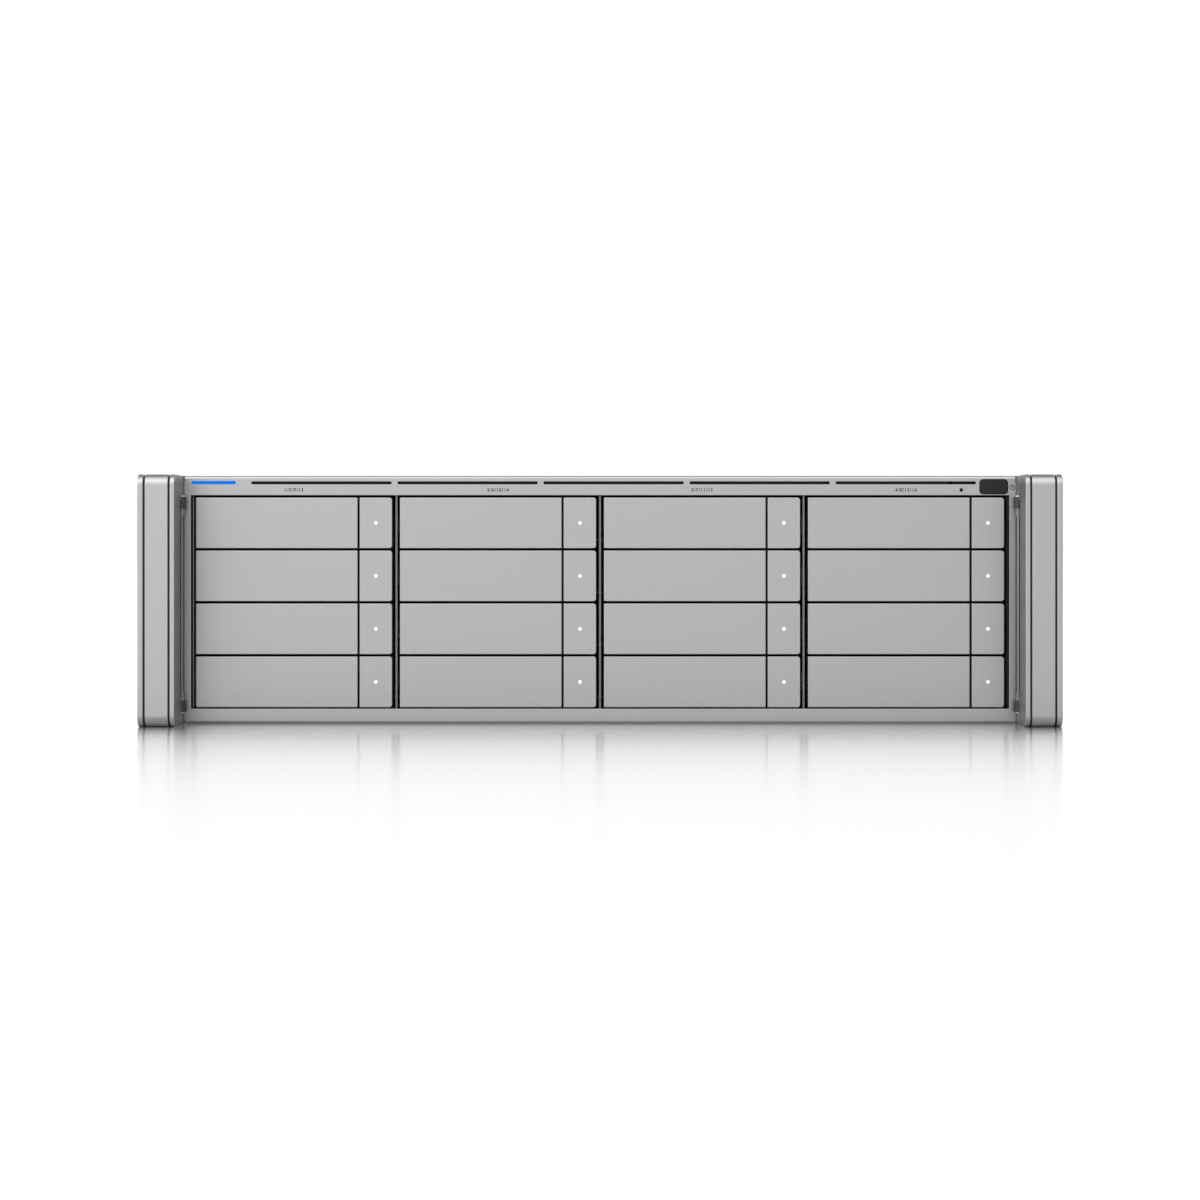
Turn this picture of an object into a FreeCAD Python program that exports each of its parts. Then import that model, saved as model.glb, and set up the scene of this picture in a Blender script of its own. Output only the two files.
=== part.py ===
import FreeCAD
import Part
import math
import os

# Rack-mount network storage server, three rack units high, with sixteen hot-swap drive trays.
# Millimetres. The front faces -Y, +X is to the right and +Z is up. The origin lies under the
# middle of the whole part, on the surface that it stands on.

Vector = FreeCAD.Vector

# Whole part
RACK_WIDTH = 482.6
HEIGHT = 132.0
EAR_PROJECTION = 36.0
BODY_DEPTH = 480.0
HANDLE_REACH = 24.0
OVERALL_DEPTH = EAR_PROJECTION + BODY_DEPTH + HANDLE_REACH
EAR_FRONT_Y = -OVERALL_DEPTH / 2
FACE_Y = EAR_FRONT_Y + EAR_PROJECTION
REAR_Y = FACE_Y + BODY_DEPTH

# Sheet metal box
BODY_HALF = 221.3
SHEET = 1.2
LID_SHEET = 1.0
SEAM = 0.3

# Front frame
FRAME_DEPTH = 18.0
FRAME_SHEET = 2.0
FRAME_BEND = 1.6
OPENING_HALF = 218.0
OPENING_Z = (7.9, 121.65)
SLIT_LENGTH = 74.9
SLIT_HEIGHT = 1.6
SLIT_PITCH = 77.85
SLIT_FIRST_X = -148.45
SLIT_Z = 128.3
LIGHT_X = -205.95
LIGHT_Z = 128.4
LIGHT_SIZE = (23.9, 1.8)
RESET_X = 192.55
RESET_Z = 124.5
RESET_RADIUS = 1.0
KEY_X = 209.85
KEY_Z = 126.2
KEY_SIZE = (15.0, 7.8)
KEY_CORNER = 1.9
KEY_CLEARANCE = 0.22
KEY_STEM_RADIUS = 2.0

# Drive bays
COLUMNS = 4
ROWS = 4
COLUMN_PITCH = 108.75
ROW_PITCH = 28.25
TRAY_WIDTH = 104.65
TRAY_HEIGHT = 27.1
TOP_ROW_Z = 93.4
CAGE_SHEET = 1.0
CAGE_PLATE = 0.8
CAGE_RECESS = 4.0
CAGE_DEPTH = 171.0
LEDGE_START = 18.0
LEDGE_REACH = 1.25
LEDGE_THICK = 0.9
LIP_Z = 5.0
LIP_THICK = 1.2
LIP_REACH = 1.0
GUIDE_PLAY = 0.1
CATCH_Z = (8.4, 18.7)
CATCH_Y = (2.4, 9.0)

# Tray: carrier, latch lever and release button, from the tray's left lower front corner
BLOCK_FRONT = 7.2
BLOCK_REAR = 16.0
POCKET_WIDTH = 9.5
POCKET_REAR = 10.4
CARRIER_LENGTH = 167.0
CARRIER_FLOOR = 0.8
FLOOR_EDGE = 14.0
FLOOR_WINDOW_START = 36.0
RAIL_THICK = 1.4
RAIL_HEIGHT = 16.0
DRIVE_WIDTH = 101.6
DRIVE_LENGTH = 147.0
DRIVE_HEIGHT = 26.1
DRIVE_START = 18.0
LEVER_WIDTH = 86.3
LEVER_DEPTH = 6.5
LEVER_SHEET = 1.2
LEVER_RETURN = 1.0
RETURN_START = 8.0
HINGE_X = 3.5
HINGE_Y = 3.0
PIN_RADIUS = 0.7
PIN_PLAY = 0.05
ARM_RADIUS = 1.5
ARM_Z = (1.3, 6.0)
BARREL_RADIUS = 1.8
BARREL_Z = (6.3, 20.8)
CLAW_Z = (9.3, 17.8)
CLAW_TIP = (-1.2, 6.4, 8.0)
STRIKER_X = (82.3, 84.3)
STRIKER_Z = (10.5, 16.6)
STRIKER_REAR = 12.5
BUTTON_GAP = 1.0
BUTTON_DEPTH = 5.0
BUTTON_SHEET = 1.5
BUTTON_WALL = 1.0
BUTTON_CORNER = 1.5
STEM_WIDTH = 7.0
STEM_HEIGHT = 9.0
STEM_REAR = 13.5
STEM_PLAY = 0.3
LED_RADIUS = 1.05
SMALL_SIDES = 6

# Ear covers and rack brackets, at the right-hand side
EAR_INNER = 221.9
EAR_OUTER = RACK_WIDTH / 2
EAR_WALL = 2.4
EAR_CORNER = 5.8
EAR_BACK_GAP = 0.3
EAR_INNER_WALL_REAR = -247.0
EAR_WINDOW_Z = (13.4, 118.6)
GROOVE_WIDTH = 0.95
GROOVE_DEPTH = 0.9
GROOVE_X = (224.85, 237.85)
EAR_PIN_X = 222.4
EAR_PIN_Y = FACE_Y - 5.5
EAR_PIN_RADIUS = 0.8
EAR_PIN_PLAY = 0.06
LUG_RADIUS = 2.75
LUG_Z = ((6.5, 12.5), (114.6, 120.6))
KNUCKLE_Z = ((12.9, 16.7), (110.4, 114.2))
KNUCKLE_RADIUS = 2.0
LUG_CLEARANCE = 0.4
FLANGE_THICK = 2.0
LEG_GAP = 0.2
LEG_THICK = 1.8
LEG_LENGTH = 84.0
LEG_Z = (6.0, 126.0)
RACK_SLOT_X = 465.1 / 2
RACK_SLOT_Z = (37.6, 94.75)
RACK_SLOT_SIZE = (10.3, 6.8)

# Rear of the body
PSU_X = 177.0
PSU_SIZE = (73.5, 184.0, 40.0)
PSU_Z = (5.0, 49.0)
PSU_PLAY = 0.5
PSU_FLANGE = 1.5
BACKPLANE_Y = FACE_Y + CAGE_DEPTH + 0.3
BOARD_THICK = 1.6
FAN_SIZE = 120.0
FAN_DEPTH = 25.0
FAN_X = (-142.0, 0.0, 142.0)
FAN_Y = -50.0
FAN_Z = 66.0
FAN_HUB_RADIUS = 20.0
FAN_BLADES = 5
FAN_BLADE_THICK = 1.6
FAN_BLADE_PITCH = 38.0
MAINBOARD_Y = (12.0, 243.0)
MAINBOARD_X = (-214.0, 130.0)
MAINBOARD_Z = 8.0
PORT_SIZE = (15.6, 13.2)
PORT_HOLE = (12.0, 9.0)
PORT_DEPTH = 12.0
PORT_X = (-8.0, 10.0, 28.0, 46.0)
PORT_Z = 17.0
PORT_WINDOW = (9.3, 24.0)
SOCKET_PROUD = 0.6
SERIAL_X = (-90.0, -60.0, 72.0, 100.0)
SERIAL_SIZE = (13.6, 12.6)
SERIAL_HOLE = (11.6, 3.8)
SERIAL_HOLE_Z = (14.4, 20.6)
SERIAL_DEPTH = 16.0
VENT_SIZE = (52.0, 5.0)
VENT_PITCH = (60.0, 14.0)
VENT_FIRST = (-97.0, 61.0)
VENT_COLUMNS = 4
VENT_ROWS = 4
SLOT_COVER_X = (-196.0, -175.7, -155.4)
SLOT_COVER_Z = 63.0
SLOT_COVER_SIZE = (15.6, 98.0)

# Power supply, from its own middle
INLET_OFFSET = -20.0
INLET_SIZE = (24.0, 16.4)
INLET_DEPTH = 16.0
INLET_CORNER = 4.0
PRONG_PLACES = ((-7.0, -1.5), (0.0, 2.5), (7.0, -1.5))
PRONG_SIZE = (2.0, 10.6, 4.0)
HANDLE_OFFSET = 14.0
HANDLE_WIDTH = 40.0
HANDLE_HEIGHT = 9.0
HANDLE_BAR = (3.0, 3.5)
PSU_SLOT_SIZE = (30.0, 8.0, 2.0)
PSU_SLOT_PITCH = 6.0
PSU_SLOTS = 5

# Main board
COOLER_X = (-60.0, 20.0)
COOLER_Y = (60.0, 142.0)
COOLER_FOOT = 6.0
COOLER_HEIGHT = 34.0
FIN_THICK = 2.0
FIN_PITCH = 8.0
MEMORY_X = (44.0, 53.0, 62.0, 71.0)
MEMORY_SIZE = (3.5, 133.0, 31.0)
MEMORY_START = 50.0
PILLAR = 6.0
PILLAR_INSET = 8.0


# Small helpers

def box(x, y, z):
    """A block between pairs of limits along X, Y and Z."""
    return Part.makeBox(x[1] - x[0], y[1] - y[0], z[1] - z[0], Vector(x[0], y[0], z[0]))


def centred(middle, size):
    """The pair of limits of a length about its middle."""
    return (middle - size / 2, middle + size / 2)


def prism_y(points, y):
    """A closed XZ outline, extruded between two depths."""
    corners = [Vector(px, y[0], pz) for px, pz in points]
    face = Part.Face(Part.makePolygon(corners + corners[:1]))
    return face.extrude(Vector(0, y[1] - y[0], 0))


def prism_z(points, z):
    """A closed XY outline, extruded between two heights."""
    corners = [Vector(px, py, z[0]) for px, py in points]
    face = Part.Face(Part.makePolygon(corners + corners[:1]))
    return face.extrude(Vector(0, 0, z[1] - z[0]))


def rod_y(x, z, radius, y):
    """A round rod along Y."""
    return Part.makeCylinder(radius, y[1] - y[0], Vector(x, y[0], z), Vector(0, 1, 0))


def ring_of(radius, sides, inside=False):
    """The corners of a regular outline that lies inside a circle, or just outside it."""
    reach = radius if inside else radius / math.cos(math.pi / sides)
    turns = [2 * math.pi * (index + 0.5) / sides for index in range(sides)]
    return [(reach * math.cos(turn), reach * math.sin(turn)) for turn in turns]


def facet_rod_y(x, z, radius, y, sides, inside=True):
    """A rod along Y with flat sides, for what repeats in every bay or fan."""
    return prism_y([(x + px, z + pz) for px, pz in ring_of(radius, sides, inside)], y)


def facet_rod_z(x, y, radius, z, sides, inside=True):
    """A rod along Z with flat sides, for what repeats in every bay."""
    return prism_z([(x + px, y + py) for px, py in ring_of(radius, sides, inside)], z)


def fused(*shapes):
    """One solid from pieces that overlap or meet."""
    return shapes[0].fuse(list(shapes[1:])).removeSplitter()


def rounded_along(shape, radius, chosen):
    """A shape with the edges that a test picks rounded off."""
    edges = [edge for edge in shape.Edges if chosen(edge)]
    return shape.makeFillet(radius, edges)


def runs_along(edge, axis):
    """Whether a straight edge runs along X, Y or Z."""
    first = edge.Vertexes[0].Point
    last = edge.Vertexes[-1].Point
    step = [abs(last.x - first.x), abs(last.y - first.y), abs(last.z - first.z)]
    across = step[:axis] + step[axis + 1:]
    return step[axis] > 1e-6 and max(across) < 1e-6


def obround(x, z, size, y):
    """A bar along Y whose XZ outline has straight long sides and half-round ends."""
    radius = size[1] / 2
    reach = size[0] / 2 - radius
    middle = box((x - reach, x + reach), y, centred(z, size[1]))
    return fused(middle, rod_y(x - reach, z, radius, y), rod_y(x + reach, z, radius, y))


def softened_bar(x, z, size, radius, y, corners=(True, True), steps=2):
    """A bar along Y whose left or right corners are turned in a few flat steps."""
    points = []
    for quarter in range(4):
        side = (1, 1, -1, -1)[quarter]
        rise = (-1, 1, 1, -1)[quarter]
        soft = corners[1] if side > 0 else corners[0]
        corner = (x + side * size[0] / 2, z + rise * size[1] / 2)
        if not soft:
            points.append(corner)
            continue
        for step in range(steps + 1):
            turn = math.radians(90 * (quarter - 1 + step / steps))
            points.append((corner[0] + radius * (math.cos(turn) - side),
                           corner[1] + radius * (math.sin(turn) - rise)))
    return prism_y(points, y)


def mirrored(shape):
    """The same shape on the left-hand side."""
    return shape.mirror(Vector(0, 0, 0), Vector(1, 0, 0))


def bay_corner(column, row):
    """The left lower front corner of a tray, with row 0 at the top."""
    x = (column - (COLUMNS - 1) / 2) * COLUMN_PITCH - TRAY_WIDTH / 2
    return Vector(x, FACE_Y, TOP_ROW_Z - row * ROW_PITCH)


def divider_x():
    """The middles of the upright sheets of the drive cage."""
    return [(index - COLUMNS / 2) * COLUMN_PITCH for index in range(COLUMNS + 1)]


def save(name, *solids):
    """One STEP file for a sub-part."""
    shape = solids[0] if len(solids) == 1 else Part.makeCompound(list(solids))
    shape.exportStep("parts/" + name + ".step")


# Sheet metal box

def rear_panel():
    """The rear wall, with windows for the power supplies, sockets, expansion slots and air."""
    inside = BODY_HALF - SHEET
    wall = box((-inside, inside), (REAR_Y - SHEET, REAR_Y), (SHEET, HEIGHT - LID_SHEET))
    through = (REAR_Y - 2 * SHEET, REAR_Y + SHEET)
    psu_width = centred(PSU_X, PSU_SIZE[0] + 2 * PSU_PLAY)
    windows = [box(psu_width, through, (z - PSU_PLAY, z + PSU_SIZE[2] + PSU_PLAY)) for z in PSU_Z]
    half = PORT_SIZE[0] / 2 + 0.4
    windows.append(box((PORT_X[0] - half, PORT_X[-1] + half), through, PORT_WINDOW))
    for column in range(VENT_COLUMNS):
        for row in range(VENT_ROWS):
            x = VENT_FIRST[0] + column * VENT_PITCH[0]
            z = VENT_FIRST[1] + row * VENT_PITCH[1]
            windows.append(box(centred(x, VENT_SIZE[0]), through, centred(z, VENT_SIZE[1])))
    for x in SERIAL_X:
        windows.append(box(centred(x, SERIAL_SIZE[0] + 0.4), through, (11.0, 24.0)))
    return fused(wall.cut(windows), *slot_covers())


def slot_covers():
    """The blank covers of the expansion slots, pressed out of the rear wall."""
    depth = (REAR_Y - SHEET / 2, REAR_Y + 1.0)
    return [softened_bar(x, SLOT_COVER_Z, SLOT_COVER_SIZE, 2.0, depth, steps=1) for x in SLOT_COVER_X]


def psu_guides():
    """The sheet shelves and wall that the power supplies run in, as one folded piece."""
    left = PSU_X - PSU_SIZE[0] / 2 - 1.0
    length = (REAR_Y - PSU_SIZE[1] - 6.0, REAR_Y - SHEET)
    top = PSU_Z[1] + PSU_SIZE[2] + 1.0
    wall = box((left - LID_SHEET, left), length, (SHEET, top + LID_SHEET))
    shelves = [box((left - LID_SHEET / 2, BODY_HALF - SHEET), length, (z, z + LID_SHEET))
               for z in (PSU_Z[1] - 2.2, top)]
    return fused(wall, *shelves)


def folded_base():
    """Floor and sides of the box, folded from one sheet."""
    top = HEIGHT - LID_SHEET
    start = FACE_Y + FRAME_DEPTH + SEAM
    inside = BODY_HALF - SHEET
    outline = [(-BODY_HALF, 0), (BODY_HALF, 0), (BODY_HALF, top), (inside, top),
               (inside, SHEET), (-inside, SHEET), (-inside, top), (-BODY_HALF, top)]
    wrap = prism_y(outline, (start, REAR_Y))
    return rounded_along(wrap, FRAME_BEND, lambda edge: runs_along(edge, 1) and edge.CenterOfMass.z < 1e-6)


def top_cover():
    """The lid: a flat sheet with a flange down inside each side and at the rear."""
    start = FACE_Y + FRAME_DEPTH + SEAM
    plate = box((-BODY_HALF, BODY_HALF), (start, REAR_Y), (HEIGHT - LID_SHEET, HEIGHT))
    plate = rounded_along(plate, 0.8,
                          lambda edge: runs_along(edge, 1) and edge.CenterOfMass.z > HEIGHT - 1e-6)
    edge = BODY_HALF - SHEET - SEAM
    flange = box((edge - LID_SHEET, edge), (start + 4.0, REAR_Y - 6.0), (HEIGHT - 12.0, HEIGHT - LID_SHEET))
    return fused(plate, flange, mirrored(flange))


def front_frame():
    """The frame round the bays: a folded plate with air slits, light slot, key window and reset hole."""
    rear = FACE_Y + FRAME_DEPTH
    shell = box((-BODY_HALF, BODY_HALF), (FACE_Y, rear), (0, HEIGHT))
    shell = rounded_along(shell, FRAME_BEND,
                          lambda edge: runs_along(edge, 0) and edge.CenterOfMass.y < FACE_Y + 1)
    hollow = box((-BODY_HALF + LID_SHEET, BODY_HALF - LID_SHEET), (FACE_Y + FRAME_SHEET, rear + 1),
                 (LID_SHEET, HEIGHT - LID_SHEET))
    through = (FACE_Y - 1, FACE_Y + FRAME_SHEET + 1)
    holes = [hollow, box((-OPENING_HALF, OPENING_HALF), through, OPENING_Z)]
    for index in range(5):
        x = SLIT_FIRST_X + index * SLIT_PITCH
        holes.append(softened_bar(x, SLIT_Z, (SLIT_LENGTH, SLIT_HEIGHT), SLIT_HEIGHT / 2 - 0.01, through))
    holes.append(softened_bar(LIGHT_X, LIGHT_Z, LIGHT_SIZE, LIGHT_SIZE[1] / 2 - 0.01, through))
    holes.append(facet_rod_y(RESET_X, RESET_Z, RESET_RADIUS, through, 12))
    window = (KEY_SIZE[0] + 2 * KEY_CLEARANCE, KEY_SIZE[1] + 2 * KEY_CLEARANCE)
    holes.append(softened_bar(KEY_X, KEY_Z, window, KEY_CORNER + KEY_CLEARANCE, through, steps=4))
    return shell.cut(holes)


def power_button():
    """The key plate with a rim behind the frame and a stem to its switch."""
    plate_y = (FACE_Y - 0.3, FACE_Y + FRAME_SHEET + 0.8)
    plate = softened_bar(KEY_X, KEY_Z, KEY_SIZE, KEY_CORNER, plate_y, steps=4)
    stem_y = (FACE_Y + FRAME_SHEET + 0.8, FACE_Y + FRAME_SHEET + 2.4)
    return fused(plate, facet_rod_y(KEY_X, KEY_Z, KEY_STEM_RADIUS, stem_y, 12))


# Drive cage

def cage_divider(x, claws, left_side, right_side):
    """An upright sheet with guide ledges, and catch windows beside the claws of the trays to its right."""
    front = FACE_Y + CAGE_RECESS
    rear = FACE_Y + CAGE_DEPTH
    half = CAGE_SHEET / 2
    sheet = box((x - half, x + half), (front, rear), OPENING_Z)
    ledges = []
    windows = []
    for row in range(ROWS):
        corner = bay_corner(0, row)
        top = corner.z + LIP_Z - GUIDE_PLAY
        left = x - half - LEDGE_REACH * left_side
        right = x + half + LEDGE_REACH * right_side
        ledges.append(box((left, right), (FACE_Y + LEDGE_START, rear), (top - LEDGE_THICK, top)))
        if claws:
            height = (corner.z + CATCH_Z[0], corner.z + CATCH_Z[1])
            windows.append(box((x - 1, x + 1), (front + CATCH_Y[0], front + CATCH_Y[1]), height))
    divider = fused(sheet, *ledges)
    return divider.cut(windows) if windows else divider


def drive_cage():
    """The sheets of the cage that guides the trays: top, bottom with its feet, and five upright ones."""
    front = FACE_Y + CAGE_RECESS
    rear = FACE_Y + CAGE_DEPTH
    half = COLUMNS / 2 * COLUMN_PITCH + CAGE_SHEET / 2
    thick = CAGE_PLATE
    top = box((-half, half), (front, rear), (OPENING_Z[1], OPENING_Z[1] + thick))
    bottom = box((-half, half), (front, rear), (OPENING_Z[0] - thick, OPENING_Z[0]))
    middles = divider_x()
    feet = [box(centred(x, 12.0), (rear - 16.0, rear), (SHEET, OPENING_Z[0] - thick)) for x in middles[1:-1]]
    dividers = []
    for index, x in enumerate(middles):
        dividers.append(cage_divider(x, index < COLUMNS, index > 0, index < COLUMNS))
    return [top, fused(bottom, *feet)] + dividers


# Tray, lever and release button, from the tray's own corner

def tray_carrier():
    """The latch block, the two guide rails and the open floor between them."""
    full = (0, TRAY_HEIGHT)
    block = box((0, TRAY_WIDTH), (BLOCK_FRONT, BLOCK_REAR), full)
    pocket = box((-1, POCKET_WIDTH), (0, POCKET_REAR), (-1, TRAY_HEIGHT + 1))
    striker_hole = box((STRIKER_X[0] - 0.8, STRIKER_X[1] + 0.8), (0, BLOCK_REAR + 1),
                       (STRIKER_Z[0] - 0.8, STRIKER_Z[1] + 0.8))
    stem = button_stem_limits()
    stem_hole = box((stem[0][0] - STEM_PLAY, stem[0][1] + STEM_PLAY), (0, BLOCK_REAR + 1),
                    (stem[1][0] - STEM_PLAY, stem[1][1] + STEM_PLAY))
    block = block.cut([pocket, striker_hole, stem_hole])
    upper_arm = (TRAY_HEIGHT - ARM_Z[1], TRAY_HEIGHT - ARM_Z[0])
    arms = [hinge_arm(height) for height in (ARM_Z, upper_arm)]
    pin = facet_rod_z(HINGE_X, HINGE_Y, PIN_RADIUS, (ARM_Z[1], TRAY_HEIGHT - ARM_Z[1]), SMALL_SIDES)
    inner = TRAY_WIDTH - RAIL_THICK
    lip_top = LIP_Z + LIP_THICK
    outline = [(0, 0), (TRAY_WIDTH, 0), (TRAY_WIDTH, LIP_Z), (TRAY_WIDTH + LIP_REACH, LIP_Z),
               (TRAY_WIDTH + LIP_REACH, lip_top), (TRAY_WIDTH, lip_top), (TRAY_WIDTH, RAIL_HEIGHT),
               (inner, RAIL_HEIGHT), (inner, CARRIER_FLOOR), (RAIL_THICK, CARRIER_FLOOR),
               (RAIL_THICK, RAIL_HEIGHT), (0, RAIL_HEIGHT), (0, lip_top), (-LIP_REACH, lip_top),
               (-LIP_REACH, LIP_Z), (0, LIP_Z)]
    rails = prism_y(outline, (BLOCK_REAR, CARRIER_LENGTH))
    window = box((FLOOR_EDGE, TRAY_WIDTH - FLOOR_EDGE), (FLOOR_WINDOW_START, CARRIER_LENGTH - FLOOR_EDGE),
                 (-1, CARRIER_FLOOR + 1))
    return fused(block, *arms, pin, rails.cut(window))


def hinge_arm(height):
    """An arm from the block to the lever's pin, with a nose that is round about the hinge axis."""
    low = height[0]

    def on_nose(degrees):
        turn = math.radians(degrees)
        return Vector(HINGE_X + ARM_RADIUS * math.cos(turn), HINGE_Y + ARM_RADIUS * math.sin(turn), low)

    nose = Part.Arc(on_nose(200), on_nose(222), on_nose(244)).toShape()
    rest = [on_nose(244), Vector(HINGE_X + ARM_RADIUS, HINGE_Y - ARM_RADIUS * 0.7, low),
            Vector(POCKET_WIDTH, BLOCK_FRONT, low), Vector(POCKET_WIDTH, POCKET_REAR, low),
            Vector(HINGE_X + 2.5, POCKET_REAR, low), on_nose(200)]
    outline = Part.Wire([nose] + Part.makePolygon(rest).Edges)
    return Part.Face(outline).extrude(Vector(0, 0, height[1] - low))


def hard_drive():
    """The outline of a 3.5-inch drive on the carrier's floor."""
    length = (DRIVE_START, DRIVE_START + DRIVE_LENGTH)
    return box(centred(TRAY_WIDTH / 2, DRIVE_WIDTH), length, (CARRIER_FLOOR, CARRIER_FLOOR + DRIVE_HEIGHT))


def lever():
    """The latch lever: a dished front plate with a hinge barrel, a claw and a striker for the catch."""
    outer = box((0, LEVER_WIDTH), (0, LEVER_DEPTH), (0, TRAY_HEIGHT))
    dish = box((-1, LEVER_WIDTH - LEVER_RETURN), (LEVER_SHEET, LEVER_DEPTH + 1),
               (LEVER_RETURN, TRAY_HEIGHT - LEVER_RETURN))
    end = box((-1, RETURN_START), (LEVER_SHEET, LEVER_DEPTH + 1), (-1, TRAY_HEIGHT + 1))
    plate = outer.cut([dish, end])
    web = box((HINGE_X - 1.6, HINGE_X + 1.6), (LEVER_SHEET - 0.1, HINGE_Y), BARREL_Z)
    barrel = facet_rod_z(HINGE_X, HINGE_Y, BARREL_RADIUS, BARREL_Z, SMALL_SIDES)
    claw_outline = [(HINGE_X, 1.9), (0.4, 3.4), (CLAW_TIP[0], CLAW_TIP[1]), (CLAW_TIP[0], CLAW_TIP[2]),
                    (0.8, CLAW_TIP[2]), (HINGE_X + 0.4, 4.7)]
    claw = prism_z(claw_outline, CLAW_Z)
    foot = LEVER_SHEET - 0.1
    hook = [(STRIKER_X[0], foot), (STRIKER_X[1], foot), (STRIKER_X[1], STRIKER_REAR - 3.0),
            (STRIKER_X[1] + 0.6, STRIKER_REAR - 2.0), (STRIKER_X[0] + 0.6, STRIKER_REAR),
            (STRIKER_X[0], STRIKER_REAR)]
    striker = prism_z(hook, STRIKER_Z)
    bore = facet_rod_z(HINGE_X, HINGE_Y, PIN_RADIUS + PIN_PLAY, (BARREL_Z[0] - 1, BARREL_Z[1] + 1),
                       SMALL_SIDES, inside=False)
    return fused(plate, web, barrel, claw, striker).cut(bore)


def button_limits():
    """The width of the release button, right of the lever."""
    return (LEVER_WIDTH + BUTTON_GAP, TRAY_WIDTH)


def button_stem_limits():
    """The X and Z limits of the button's stem."""
    x = sum(button_limits()) / 2 + 1.0
    return (centred(x, STEM_WIDTH), centred(TRAY_HEIGHT / 2, STEM_HEIGHT))


def release_button():
    """The button cap: a shell with a stem behind it and a hole for its light pipe."""
    left, right = button_limits()
    cap = softened_bar((left + right) / 2, TRAY_HEIGHT / 2, (right - left, TRAY_HEIGHT), BUTTON_CORNER,
                       (0, BUTTON_DEPTH), corners=(False, True))
    hollow = box((left + BUTTON_WALL, right - BUTTON_WALL), (BUTTON_SHEET, BUTTON_DEPTH + 1),
                 (BUTTON_WALL, TRAY_HEIGHT - BUTTON_WALL))
    stem_x, stem_z = button_stem_limits()
    stem = box(stem_x, (BUTTON_SHEET, STEM_REAR), stem_z)
    hole = facet_rod_y((left + right) / 2, TRAY_HEIGHT / 2, LED_RADIUS, (-1, BUTTON_SHEET), SMALL_SIDES)
    return fused(cap.cut(hollow), stem).cut(hole)


def light_pipe():
    """The small lens that shows the tray's light."""
    left, right = button_limits()
    return facet_rod_y((left + right) / 2, TRAY_HEIGHT / 2, LED_RADIUS, (0.05, BUTTON_SHEET), SMALL_SIDES)


# Rack brackets and ear covers, right-hand side

def rack_bracket():
    """The angle bracket that carries the part in a rack, with the hinge lugs and the pin of its cover."""
    flange_y = (FACE_Y, FACE_Y + FLANGE_THICK)
    leg_x = (BODY_HALF + LEG_GAP, BODY_HALF + LEG_GAP + LEG_THICK)
    flange = box((leg_x[0], EAR_OUTER), flange_y, (0, HEIGHT))
    through = (FACE_Y - 1, FACE_Y + FLANGE_THICK + 1)
    slots = [obround(RACK_SLOT_X, z, RACK_SLOT_SIZE, through) for z in RACK_SLOT_Z]
    rear = FACE_Y + LEG_LENGTH
    leg = box(leg_x, (FACE_Y + 0.5, rear), LEG_Z)
    ends = [edge for edge in leg.Edges if runs_along(edge, 0) and edge.CenterOfMass.y > rear - 0.1]
    leg = leg.makeChamfer(8.0, ends)
    lugs = []
    for height in LUG_Z:
        lugs.append(facet_rod_z(EAR_PIN_X, EAR_PIN_Y, LUG_RADIUS, height, 12))
        lugs.append(box((leg_x[0], EAR_PIN_X + LUG_RADIUS), (EAR_PIN_Y, FACE_Y + 0.5), height))
    return fused(flange.cut(slots), leg, *lugs, hinge_pin())


def hinge_pin():
    """The round pin of an ear cover, pressed into its two lugs for good."""
    low = (LUG_Z[0][0] + LUG_Z[0][1]) / 2
    high = (LUG_Z[1][0] + LUG_Z[1][1]) / 2
    return Part.makeCylinder(EAR_PIN_RADIUS, high - low, Vector(EAR_PIN_X, EAR_PIN_Y, low))


def is_front_corner(edge, back):
    """Whether an edge is the top or bottom corner at the front of an ear cover."""
    return runs_along(edge, 0) and edge.CenterOfMass.y < back - EAR_PROJECTION / 2


def ear_cover():
    """The hollow cover over the rack screws, with round front corners, grooves and hinge knuckles."""
    back = FACE_Y - EAR_BACK_GAP
    shell = box((EAR_INNER, EAR_OUTER), (EAR_FRONT_Y, back), (0, HEIGHT))
    shell = rounded_along(shell, EAR_CORNER, lambda edge: is_front_corner(edge, back))
    inside_z = (EAR_WALL, HEIGHT - EAR_WALL)
    hollow = box((EAR_INNER + EAR_WALL, EAR_OUTER - EAR_WALL), (EAR_FRONT_Y + EAR_WALL, back + 1), inside_z)
    hollow = hollow.makeChamfer(1.5, [edge for edge in hollow.Edges if is_front_corner(edge, back)])
    cuts = [hollow]
    for x in GROOVE_X:
        cuts.append(groove(x, back))
    inner_wall = (EAR_INNER - 1, EAR_INNER + EAR_WALL + 0.1)
    cuts.append(box(inner_wall, (EAR_INNER_WALL_REAR, back + 1), EAR_WINDOW_Z))
    reach = EAR_PIN_X + LUG_RADIUS + LUG_CLEARANCE
    for low, high in LUG_Z:
        window_z = (low - LUG_CLEARANCE, high + LUG_CLEARANCE)
        depth = (EAR_PIN_Y - LUG_RADIUS - LUG_CLEARANCE, back + 1)
        cuts.append(box((EAR_INNER - 1, reach), depth, window_z))
    knuckles = []
    for height in KNUCKLE_Z:
        knuckles.append(facet_rod_z(EAR_PIN_X, EAR_PIN_Y, KNUCKLE_RADIUS, height, 16))
        knuckles.append(box((EAR_PIN_X - 0.5, EAR_PIN_X + KNUCKLE_RADIUS),
                            (EAR_INNER_WALL_REAR - 1.0, EAR_PIN_Y), height))
    bore = facet_rod_z(EAR_PIN_X, EAR_PIN_Y, EAR_PIN_RADIUS + EAR_PIN_PLAY,
                       (KNUCKLE_Z[0][0] - 0.3, KNUCKLE_Z[1][1] + 0.3), 12, inside=False)
    return fused(shell.cut(cuts), *knuckles).cut(bore)


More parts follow.
